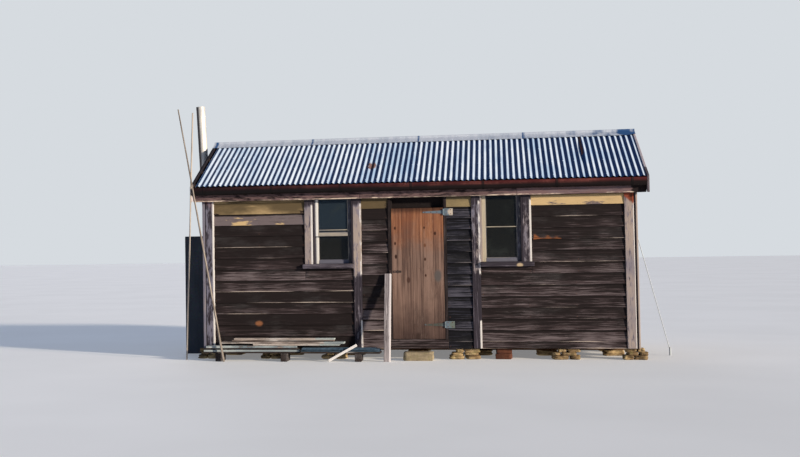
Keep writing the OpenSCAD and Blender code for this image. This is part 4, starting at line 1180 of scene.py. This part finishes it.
def buildFascia():
    rng = random.Random(eaves["seed"] + 1)
    shape = newShape()
    low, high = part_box("fascia_boards")
    marks = [low.x, *eaves["joints"], high.x]
    for y0 in (low.y, high.y - eaves["fasciaT"]):
        front = y0 < 0
        for a, b in zip(marks, marks[1:]):
            squareBoard(shape, rng, (a, y0, low.z), (b - eaves["gap"], y0 + eaves["fasciaT"], high.z), "x",
                        fasciaLook(a, front), 0.004, 0.0025, bands=(0.013, 0.02), torn=fasciaEdge(a, front))
    finishPiece("fasciaBoards", shape, fasciaWood, stands=["fascia_boards"])


gutter = {"w": 0.11, "h": 0.105, "t": 0.002, "bead": 0.006, "flat": 0.55, "rise": 0.62, "curveSteps": 14,
          "beadSteps": 7, "joints": (-1.05, 1.95), "jointW": 0.05, "segments": 60, "sag": 0.002}


def gutterLine(back, top):        # back, flat bottom, curved front and beaded lip, from the back's top
    w, h, bead, flat = gutter["w"], gutter["h"], gutter["bead"], gutter["flat"]
    line = [(back, top), (back, top - h), (back - flat * w, top - h)]
    for k in range(1, gutter["curveSteps"] + 1):
        a = math.pi / 2 * k / gutter["curveSteps"]
        line.append((back - w * (flat + (1 - flat) * math.sin(a)),
                     top - h * (1 - gutter["rise"] * (1 - math.cos(a)))))
    line.append((back - w, top - bead))
    for k in range(1, gutter["beadSteps"] + 1):
        a = math.radians(30 * k)
        line.append((back - w + bead * (1 - math.cos(a)), top - bead + bead * math.sin(a)))
    half = gutter["t"] / 2
    return [(y + (half if y < back - 0.05 else -half), z) for y, z in line]


def buildGutter():
    low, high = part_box("gutter")
    back, top = high.y, high.z
    line = gutterLine(back, top)
    curveEnd = gutter["curveSteps"] + 4
    shape = newShape()
    part = bmesh.new()
    extrudeRun(part, line, low.x, high.x, gutter["segments"])
    thicken(part, gutter["t"] * 0.7)
    for v in part.verts:
        v.co.z += gutter["sag"] * uneven(v.co.x * 1.5, 1, 0)
    joinPart(shape, part)
    for x in (low.x, high.x - gutter["t"]):        # the end stops
        part = bmesh.new()
        outline = line[1:curveEnd] + [(back - 0.001, top - gutter["bead"])]
        face = part.faces.new([part.verts.new((x, y, z)) for y, z in outline])
        made = bmesh.ops.extrude_face_region(part, geom=[face])["geom"]
        bmesh.ops.translate(part, vec=(gutter["t"], 0, 0), verts=only(bmesh.types.BMVert, made))
        faceOut(part)
        joinPart(shape, part)
    for x in gutter["joints"]:        # a lapped joint stands a little proud
        part = bmesh.new()
        extrudeRun(part, [(y - 0.0012, z - 0.0008) for y, z in line[2:curveEnd]], x, x + gutter["jointW"], 2)
        thicken(part, 0.001)
        joinPart(shape, part)
    finishPiece("gutterRun", shape, gutterPaint, stands=["gutter"])


print("barge boards, fascia and gutter")
buildBarges()
buildFascia()
buildGutter()


# Stones

# Front piers are given by the joist they stand under and their width
stones = {"depth": 0.24, "joists": 14, "joistHalf": 0.025, "back": 0.33, "bearerUnder": 0.075, "seed": 77,
          "front": ((0, 0.33), (2, 0.30), (4, 0.36), (8, 0.43), (11, 0.38), (13, 0.33)),
          "middle": (0.15, 0.13), "fromEnd": 0.25, "brickJoist": 9, "brickX": -0.04, "brickH": 0.076}


def rock(shape, rng, low, high, square=5.5, rough=0.09):        # a weathered stone, flat above and below
    part = bmesh.new()
    bmesh.ops.create_cube(part, size=2.0)
    divide(part, part.edges[:], 7)
    seed = rng.uniform(0, 90)
    turn = rng.uniform(-0.12, 0.12)
    for v in part.verts:
        p = v.co / sum(abs(c) ** square for c in v.co) ** (1 / square)
        layer = uneven(p.x * 0.6, seed, round(p.z * 3.5) * 1.7) * 1.1
        lump = noise.noise(p * 1.4 + Vector((seed, 0, 0))) * 2
        grit = noise.noise(p * 5 + Vector((0, seed, 0))) * 0.9
        size = 0.9 + (layer + lump + grit) * rough
        x, y = (p.x + turn * p.y) * size, (p.y - turn * p.x) * size
        z = p.z * 1.12 + uneven(p.x * 2, p.y * 2, seed) * 0.05
        v.co = (max(-1, min(1, x)), max(-1, min(1, y)), max(-1, min(1, z)))
    bmesh.ops.scale(part, vec=[(h - l) / 2 for l, h in zip(low, high)], verts=part.verts)
    joinPart(shape, part, moved(*((l + h) / 2 for l, h in zip(low, high))))


def pier(shape, rng, x, y, w):        # three courses of flat stones under the edge of the floor
    deep, top = stones["depth"], hut["baseZ"]
    levels = (0, rng.uniform(0.045, 0.06), rng.uniform(0.09, 0.11), top)
    for low, high, part in zip(levels, levels[1:], (1, 0.86, 0.78)):
        wide, split, slip = w * part, rng.uniform(0.35, 0.65), rng.uniform(-0.5, 0.5) * (1 - part) * w
        left = x + slip - wide / 2
        for a, b in ((0, split), (split, 1)):
            rock(shape, rng, (left + a * wide, y - deep * part / 2, max(0, low - 0.002)),
                 (left + b * wide, y + deep * part / 2, high), rng.uniform(3.5, 7))


def buildStones():
    rng = random.Random(stones["seed"])
    shape = newShape()
    low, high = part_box("floor_joists")
    count, half = stones["joists"], stones["joistHalf"]
    places = [low.x + half + (high.x - low.x - 2 * half) * i / (count - 1) for i in range(count)]
    edge = hut["halfDep"] - stones["depth"] / 2 + 0.025
    for i, w in stones["front"]:
        pier(shape, rng, places[i], -edge, w)
    for i in range(0, count, 2):
        pier(shape, rng, places[i], edge, stones["back"])
    wide, deep = stones["middle"]
    for i in range(-3, 4):
        for row in (-1, 0, 1):
            x, y = i * (hut["halfLen"] - stones["fromEnd"]) / 3, row * hut["halfDep"] / 2
            rock(shape, rng, (x - wide, y - deep, 0), (x + wide, y + deep, stones["bearerUnder"]))
    finishPiece("pierStones", shape, stoneFace, stands=["foundation_stones"], smooth=60)
    shape = newShape()
    x, brickH = places[stones["brickJoist"]] + stones["brickX"], stones["brickH"]
    rock(shape, rng, (x, -edge - 0.07, 0), (x + 0.23, -edge + 0.09, brickH), 14, 0.02)
    rock(shape, rng, (x + 0.004, -edge - 0.07, brickH + 0.001), (x + 0.226, -edge + 0.085, hut["baseZ"]),
         14, 0.02)
    finishPiece("bricks", shape, brickFace, smooth=60)
    shape = newShape()
    rock(shape, rng, *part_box("door_step"), 16, 0.022)
    finishPiece("stepBlock", shape, blockFace, stands=["door_step"], smooth=60)


print("stones")
buildStones()


# Fireplace alcove and flue

alcove = {"wall": 0.03, "skin": 0.004, "sheet": 0.62, "lap": 0.04, "edge": 0.0003, "ribs": 0.1, "foot": 0.001,
          "seed": 9, "nailEvery": 0.145, "nailRows": 12}


def ironPanel(shape, rng, wide, tall, place):        # one flat sheet, a little buckled, its back on y = 0
    part = bmesh.new()
    points = flatSheet(part, 12, 24, wide - 2 * alcove["edge"], tall)
    seed = rng.uniform(0, 50)
    for v, u, z in points:
        x = alcove["edge"] + u
        rib = 0.0005 * (0.5 + 0.5 * math.cos(2 * math.pi * x / alcove["ribs"]))
        v.co = (x, -0.0014 - rib - 0.0005 * (0.5 + uneven(x * 3, z * 3, seed)), z)
    part.normal_update()
    thicken(part, 0.0006)
    faceOut(part)

    def wear(co):
        edge = fade(min(co.x, wide - co.x), 0.03) * 0.35
        return (0.5 + 0.5 * uneven(seed, 0, 0), edge + fade(co.z, 0.25) * 0.4, 0, 0)
    joinPart(shape, part, place, seed, wear)


def buildAlcove():
    rng = random.Random(alcove["seed"])
    low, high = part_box("fireplace_shell")
    wall, skin, sheet, lap, foot = (alcove[key] for key in ("wall", "skin", "sheet", "lap", "foot"))
    wide, deep, tall = high.x - low.x, high.y - low.y, high.z - 0.005
    shape = newShape()
    for a, b in (((low.x + skin, low.y + skin, 0), (high.x, low.y + wall, high.z - wall)),
                 ((low.x + skin, high.y - wall, 0), (high.x, high.y - skin, high.z - wall)),
                 ((low.x + skin, low.y + wall, 0), (low.x + wall, high.y - wall, high.z - wall)),
                 ((low.x + skin, low.y + skin, high.z - wall), (high.x, high.y - skin, high.z - skin))):
        part = boxPart(a, b)
        divide(part, part.edges[:], 3)
        joinPart(shape, part, coat=(0.3, 0.2, 0, 0))
    ironPanel(shape, rng, wide, tall, moved(low.x, low.y + skin, foot))
    ironPanel(shape, rng, wide, tall, moved(high.x, high.y - skin, foot) @ turned(180))
    end = moved(low.x + skin, high.y, foot) @ turned(-90)
    ironPanel(shape, rng, sheet, tall, end)
    ironPanel(shape, rng, deep - sheet + lap, tall, end @ moved(sheet - lap, -0.0004, 0))
    ironPanel(shape, rng, wide, deep, moved(low.x, low.y, high.z - skin) @ turned(-90, "X"))
    columns = (low.x + 0.02, (low.x + high.x) / 2, high.x - 0.03)
    spots = [(x, low.y + 0.001, 0.08 + i * alcove["nailEvery"]) for i in range(alcove["nailRows"])
             for x in columns]
    nailHeads(shape, rng, spots, radius=0.006, proud=0.0012)
    finishPiece("alcoveSheets", shape, alcoveIron, stands=["fireplace_shell"])


flue = {"x": -3.22, "r": 0.07, "inset": 0.005, "t": 0.0025, "lean": 2.8, "bands": (0.02, 0.66, 1.32, 1.985),
        "rows": 42, "rivets": 6, "rivetR": 0.003}


def buildFlue():
    low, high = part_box("flue")
    r, lean = flue["r"], math.radians(flue["lean"])
    tall = (high.z - low.z) / math.cos(lean) - 0.008
    part = bmesh.new()
    ring = bmesh.ops.create_circle(part, cap_ends=False, segments=40, radius=r - flue["inset"])["verts"]
    edges = list({e for v in ring for e in v.link_edges})
    for _ in range(flue["rows"]):
        edges = drawOut(part, edges, (0, 0, tall / flue["rows"]))
    for v in part.verts:
        swell = 0.002 if min(abs(v.co.z - b) for b in flue["bands"]) < 0.03 else 0.0
        dent = uneven(v.co.x * 9, v.co.y * 9, v.co.z * 2.5) * 0.001
        v.co.x *= 1 + (swell + dent) / r
        v.co.y *= 1 + (swell + dent) / r
    faceOut(part)
    thicken(part, flue["t"])
    for v in part.verts:        # its foot is cut level
        if v.co.z < 0.01:
            v.co.z -= v.co.x * math.tan(lean)
        v.co.z += 0.003

    # the left side is darker, painted shade; rust and dark stain near the foot on the left
    def wear(co):
        foot = fade(co.z, 0.9) * (0.5 - co.x / r * 0.5)
        return (0.4, foot * 0.7 + 0.05, foot * 0.5 + max(0, 0.15 - 1.5 * co.x / r), 0)
    shape = newShape()
    place = moved(flue["x"], 0, low.z) @ turned(-flue["lean"], "Y")
    joinPart(shape, part, place, 3, wear)
    for b in flue["bands"][:3]:
        for k in range(flue["rivets"]):
            a = math.radians(-150 + 40 * k)
            knob = bmesh.new()
            bmesh.ops.create_uvsphere(knob, u_segments=8, v_segments=5, radius=flue["rivetR"])
            at = moved((r - 0.002) * math.cos(a), (r - 0.002) * math.sin(a), b + 0.014)
            joinPart(shape, knob, place @ at, 0, (0.5, 0.3, 0, 0))
    finishPiece("flueStack", shape, flueIron, stands=["flue"])


print("alcove and flue")
buildAlcove()
buildFlue()


# Poles, plank and stack

poles = {"aerialR": 0.011, "aerialFoot": 0.084, "aerialTip": 0.043, "aerialTop": 3.46, "aerialOff": 0.016,
         "butt": 0.016, "tip": 0.009, "top": 3.52, "leaningOut": 0.245, "leaningIn": 0.35, "bow": 0.006}


def polePart(shape, a, b, r1, r2, seed, coat):        # a little crooked, its foot on the ground
    a, b = Vector(a), Vector(b)
    long = (b - a).length
    part = bmesh.new()
    bmesh.ops.create_cone(part, cap_ends=True, segments=14, radius1=r1 * 0.97, radius2=r2 * 0.97, depth=long,
                          matrix=moved(0, 0, long / 2))
    divide(part, edgesAlong(part, 2), 34)
    for v in part.verts:
        bow = math.sin(math.pi * v.co.z / long) * poles["bow"]
        knot = 1 + 0.09 * uneven(v.co.x * 40, v.co.y * 40, v.co.z * 7 + seed)
        v.co.x = v.co.x * knot + bow * uneven(v.co.z * 0.9, seed, 0)
        v.co.y = v.co.y * knot + bow * uneven(v.co.z * 0.9, seed, 5)
    lay = turned(90, "Y")        # so that the grain runs along the part's own x
    bmesh.ops.transform(part, matrix=lay, verts=part.verts)
    turn = Vector((0, 0, 1)).rotation_difference(b - a).to_matrix().to_4x4()
    lift = r1 * math.sin(math.acos((b - a).normalized().z))
    joinPart(shape, part, moved(a.x, a.y, a.z + lift) @ turn @ lay.inverted(), seed, coat)


def buildPoles():
    low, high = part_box("aerial_pole")
    x, y, r = -hut["bargeX"] - poles["aerialOff"], (low.y + high.y) / 2, poles["aerialR"]
    shape = newShape()
    polePart(shape, (x - poles["aerialFoot"], y, 0), (x + poles["aerialTip"], y, poles["aerialTop"]), r, r, 2,
             (0.7, 0, 0, 0))
    finishPiece("aerialPole", shape, poleWood, stands=["aerial_pole"])
    low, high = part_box("gutter")
    atZ = high.z - 0.005
    atR = poles["butt"] - (poles["butt"] - poles["tip"]) * atZ / poles["top"]
    foot = Vector((-hut["halfLen"] + poles["leaningIn"], low.y - poles["leaningOut"], 0))
    at = Vector((low.x + 0.018, low.y - atR - 0.001, atZ))
    shape = newShape()
    head = foot + (at - foot) * poles["top"] / atZ
    polePart(shape, foot, head, poles["butt"], poles["tip"], 8, (0.5, 0, 0, 0))
    finishPiece("leaningPole", shape, poleWood, stands=["leaning_pole"])


plank = {"w": 0.09, "top": 1.165, "out": 0.33, "t": 0.025, "band": 0.02, "seed": 31}


def buildPlank():
    rng = random.Random(plank["seed"])
    low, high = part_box("leaning_plank")
    w, long = plank["w"], plank["top"] * 1.1
    shape = newShape()
    part = board(long, plank["t"], w, rng, 0.003, 0.0012, bands=edgeBands(w, plank["band"]))
    lean = turned(-math.degrees(math.atan(plank["out"] / plank["top"])), "X")
    top = moved(low.x + 0.001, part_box("door_frame")[0].y - 0.0003, plank["top"])
    look = brightEdge(w, plank["band"], 0.5, 0)
    joinPart(shape, part, top @ lean @ moved(0, 0, -long) @ upright(), 4, look, flip=True)
    for v in shape.verts:        # its head stands a little further right
        v.co.x += (high.x - low.x - w - 0.003) * v.co.z / plank["top"]
    cutAway(shape, (0, 0, 0), (0, 0, -1))        # its foot is cut level
    finishPiece("leaningPlank", shape, plankWood, stands=["leaning_plank"])


# Each piece of the stack: left end, length, its middle's distance in front of the trims, width,
# underside, thickness and turn; boards also have their tone and the paint that is left
stack = {
    "seed": 55,
    "bearers": ((-2.7, 0.09, 0.245, 0.25, 0, 0.11, 0), (-1.79, 0.09, 0.25, 0.26, 0, 0.11, 0),
                (-0.78, 0.09, 0.25, 0.24, 0, 0.11, 0)),
    "boards": ((-2.87, 1.33, 0.2575, 0.185, 0.1103, 0.045, 1.5, 0.6, 0.95),
               (-2.86, 1.29, 0.250, 0.165, 0.156, 0.025, 1.5, 0.2, 0.4),
               (-2.84, 1.26, 0.268, 0.150, 0.1815, 0.028, 1.5, 0.5, 0.6),
               (-1.515, 1.08, 0.262, 0.2, 0.1103, 0.025, -1.2, 0.3, 0.3),
               (-2.19, 1.19, 0.215, 0.15, 0.2106, 0.0245, 0.6, 0.8, 0.0),
               (-2.64, 1.71, 0.205, 0.14, 0.2359, 0.0245, -0.8, 0.6, 0.1),
               (-2.5, 1.42, 0.168, 0.105, 0.2612, 0.022, 0.3, 0.5, 0.1),
               (-2.47, 1.40, 0.172, 0.1, 0.284, 0.021, 0.3, 0.75, 0.0)),
    "sheets": ((-1.51, 1.07, 0.262, 0.205, 0.137, -1.2), (-1.5, 1.05, 0.26, 0.2, 0.146, -0.7),
               (-1.47, 1.02, 0.263, 0.2, 0.155, -1.3), (-1.5, 1.0, 0.262, 0.19, 0.164, -1.0)),
    "lowest": 0.12, "painted": 0.32, "bands": (0.42, 0.5),
    "slat": (0.435, 0.016, 0.035), "slatAt": (-1.12, 0.3825, 0.002), "slatLean": 29,
}


def stackPlace(x, y, z, turn):
    return moved(x, -wallFace - y, z) @ turned(turn)


def scrapLook(z, thick, long, wide, tone, left):
    def coat(co):
        if z < stack["lowest"] and co.z < thick * 0.45:        # painted shade: the lowest boards are black underneath
            return (-1, 0, 0, 0)
        # the paler boards are painted at their right ends
        tail = 1 if co.x > long - stack["painted"] and tone > 0.55 else 0
        return (tone, max(left, tail), 0.35 if co.y < -wide + 0.004 else 0, 0)
    return coat


def buildStack():
    rng = random.Random(stack["seed"])
    shape = newShape()
    for x, long, y, wide, z, thick, turn in stack["bearers"]:
        part = board(wide, long, thick, rng, 0.006, 0.002)
        for v in part.verts:
            v.co.z = max(v.co.z, 0)
        joinPart(shape, part, stackPlace(x, y, z, turn) @ moved(long, wide / 2, 0) @ turned(-90),
                 rng.uniform(0, 50), (0.2, 0, 0, 0))
    for x, long, y, wide, z, thick, turn, tone, left in stack["boards"]:
        part = board(long, wide, thick, rng, 0.003, 0.0008, bands=[thick * share for share in stack["bands"]])
        joinPart(shape, part, stackPlace(x, y, z, turn) @ moved(0, wide / 2, 0), rng.uniform(0, 50),
                 scrapLook(z, thick, long, wide, tone, left))
    slat = board(*stack["slat"], rng, 0.003, 0.001)        # a white slat leans on the front of the stack
    x, out, up = stack["slatAt"]
    joinPart(shape, slat, moved(x, -wallFace - out, up) @ turned(-stack["slatLean"], "Y"), 5, (1, 0, 1.2, 0))
    finishPiece("stackBoards", shape, scrapWood, stands=["board_stack"])
    shape = newShape()
    for x, long, y, wide, z, turn in stack["sheets"]:        # old roofing, its corrugations lengthwise
        part = bmesh.new()
        points = flatSheet(part, 16, 28, long, wide)
        seed = rng.uniform(0, 40)
        for v, u, w in points:
            curl = 0.006 * uneven(u * 2.2, (w - wide / 2) * 3, seed)
            v.co = (u, w - wide / 2, 0.008 * (1 - math.cos(2 * math.pi * w / roof["pitch"])) + curl)
        thicken(part, -roof["t"])
        faceOut(part)
        joinPart(shape, part, stackPlace(x, y, z, turn), seed, (0.5, 0.1, 0, 0))
    finishPiece("stackIron", shape, looseIron)


print("poles, plank and stack")
buildPoles()
buildPlank()
buildStack()


# Materials of the nodes that stay

nodeLooks = {
    "floor_bearers": framing["x"], "floor_joists": framing["y"], "floor_boards": framing["x"],
    "front_wall_frame_left": framing["z"], "front_wall_frame_right": framing["z"],
    "back_wall_frame": framing["z"], "left_wall_frame": framing["z"], "right_wall_frame": framing["z"],
    "top_plates": framing["x"], "rafters": framing["y"], "ridge_board": framing["x"], "purlins": roofTimber,
    "left_window_glass": glass, "right_window_glass": glass, "hinge_straps": hingeIron,
    "hinge_plates": hingeIron, "door_hasp": darkIron, "hasp_staple": darkIron,
    "gutter_brackets": bracketPaint, "hearth": stoneFace, "right_stay": stayIron,
}
for node, material in nodeLooks.items():
    nodes[node].data.materials.clear()
    nodes[node].data.materials.append(material)
print("nodes dressed")


# Floor, light and camera

studio = {"sky": "#d6dbe0", "ambient": "#5e7ba6", "ambientStrength": 0.62, "sun": 5.7, "sunAngle": 0.07,
          "sunFrom": (0.87, -0.44, 0.22), "sunColour": "#fff1de", "eye": (1.098, -17.092, 1.487),
          "turn": (-10.586, 1.974, -0.835), "lens": 51.59, "shift": (0.15, -0.02), "farClip": 400,
          "fill": 1.3, "fillAngle": 0.5, "fillFrom": (-0.3, 1, 0.1), "fillColour": "#e4ecff", "floor": 150}


def buildStage():
    bm = bmesh.new()
    bmesh.ops.create_grid(bm, x_segments=1, y_segments=1, size=studio["floor"])
    mesh = bpy.data.meshes.new("studioFloor")
    bm.to_mesh(mesh)
    bm.free()
    floor = bpy.data.objects.new("studioFloor", mesh)
    scene.collection.objects.link(floor)
    sockets = {"Roughness": 0.9, "Specular IOR Level": 0.1, "Emission Color": paint("#e6e8ea"),
               "Emission Strength": 0.25}
    made, place, shader = newMaterial("paleFloor", sockets)
    finishMaterial(shader, place, mixed("#e4e3e0", "#deddda", step(clouds(place, 0.4, 2.0), 0.3, 0.7)))
    mesh.materials.append(made)


def buildLight():
    world = bpy.data.worlds.new("softSky")
    world.use_nodes = True
    tree = world.node_tree
    back = tree.nodes["Background"]
    seen = Wire(tree, tree.nodes.new("ShaderNodeLightPath").outputs["Is Camera Ray"])
    strength = studio["ambientStrength"] + seen * (1 - studio["ambientStrength"])
    tree.links.new(mixed(studio["ambient"], studio["sky"], seen).socket, back.inputs["Color"])
    tree.links.new(strength.socket, back.inputs["Strength"])
    scene.world = world
    for name in ("sun", "fill"):
        lamp = bpy.data.lights.new(name + "Light", "SUN")
        lamp.energy, lamp.angle = studio[name], studio[name + "Angle"]
        lamp.color = paint(studio[name + "Colour"])[:3]
        light = bpy.data.objects.new(name + "Light", lamp)
        light.rotation_euler = (-Vector(studio[name + "From"])).to_track_quat("-Z", "Y").to_euler()
        scene.collection.objects.link(light)


def buildCamera():
    yaw, pitch, roll = (math.radians(a) for a in studio["turn"])
    look = Vector((math.sin(yaw) * math.cos(pitch), math.cos(yaw) * math.cos(pitch), math.sin(pitch)))
    right = Vector((math.cos(yaw), -math.sin(yaw), 0))
    up = right.cross(look)
    side = right * math.cos(roll) + up * math.sin(roll)
    top = up * math.cos(roll) - right * math.sin(roll)
    lens = bpy.data.cameras.new("camera")
    lens.lens, lens.sensor_width, lens.sensor_fit = studio["lens"], 36, "HORIZONTAL"
    lens.shift_x, lens.shift_y = studio["shift"]
    lens.clip_end = studio["farClip"]
    camera = bpy.data.objects.new("camera", lens)
    camera.matrix_world = moved(*studio["eye"]) @ Matrix((side, top, -look)).transposed().to_4x4()
    scene.collection.objects.link(camera)
    scene.camera = camera


buildStage()
buildLight()
buildCamera()
scene.view_settings.view_transform = "Standard"
scene.view_settings.look = "None"
print("stage, light and camera")
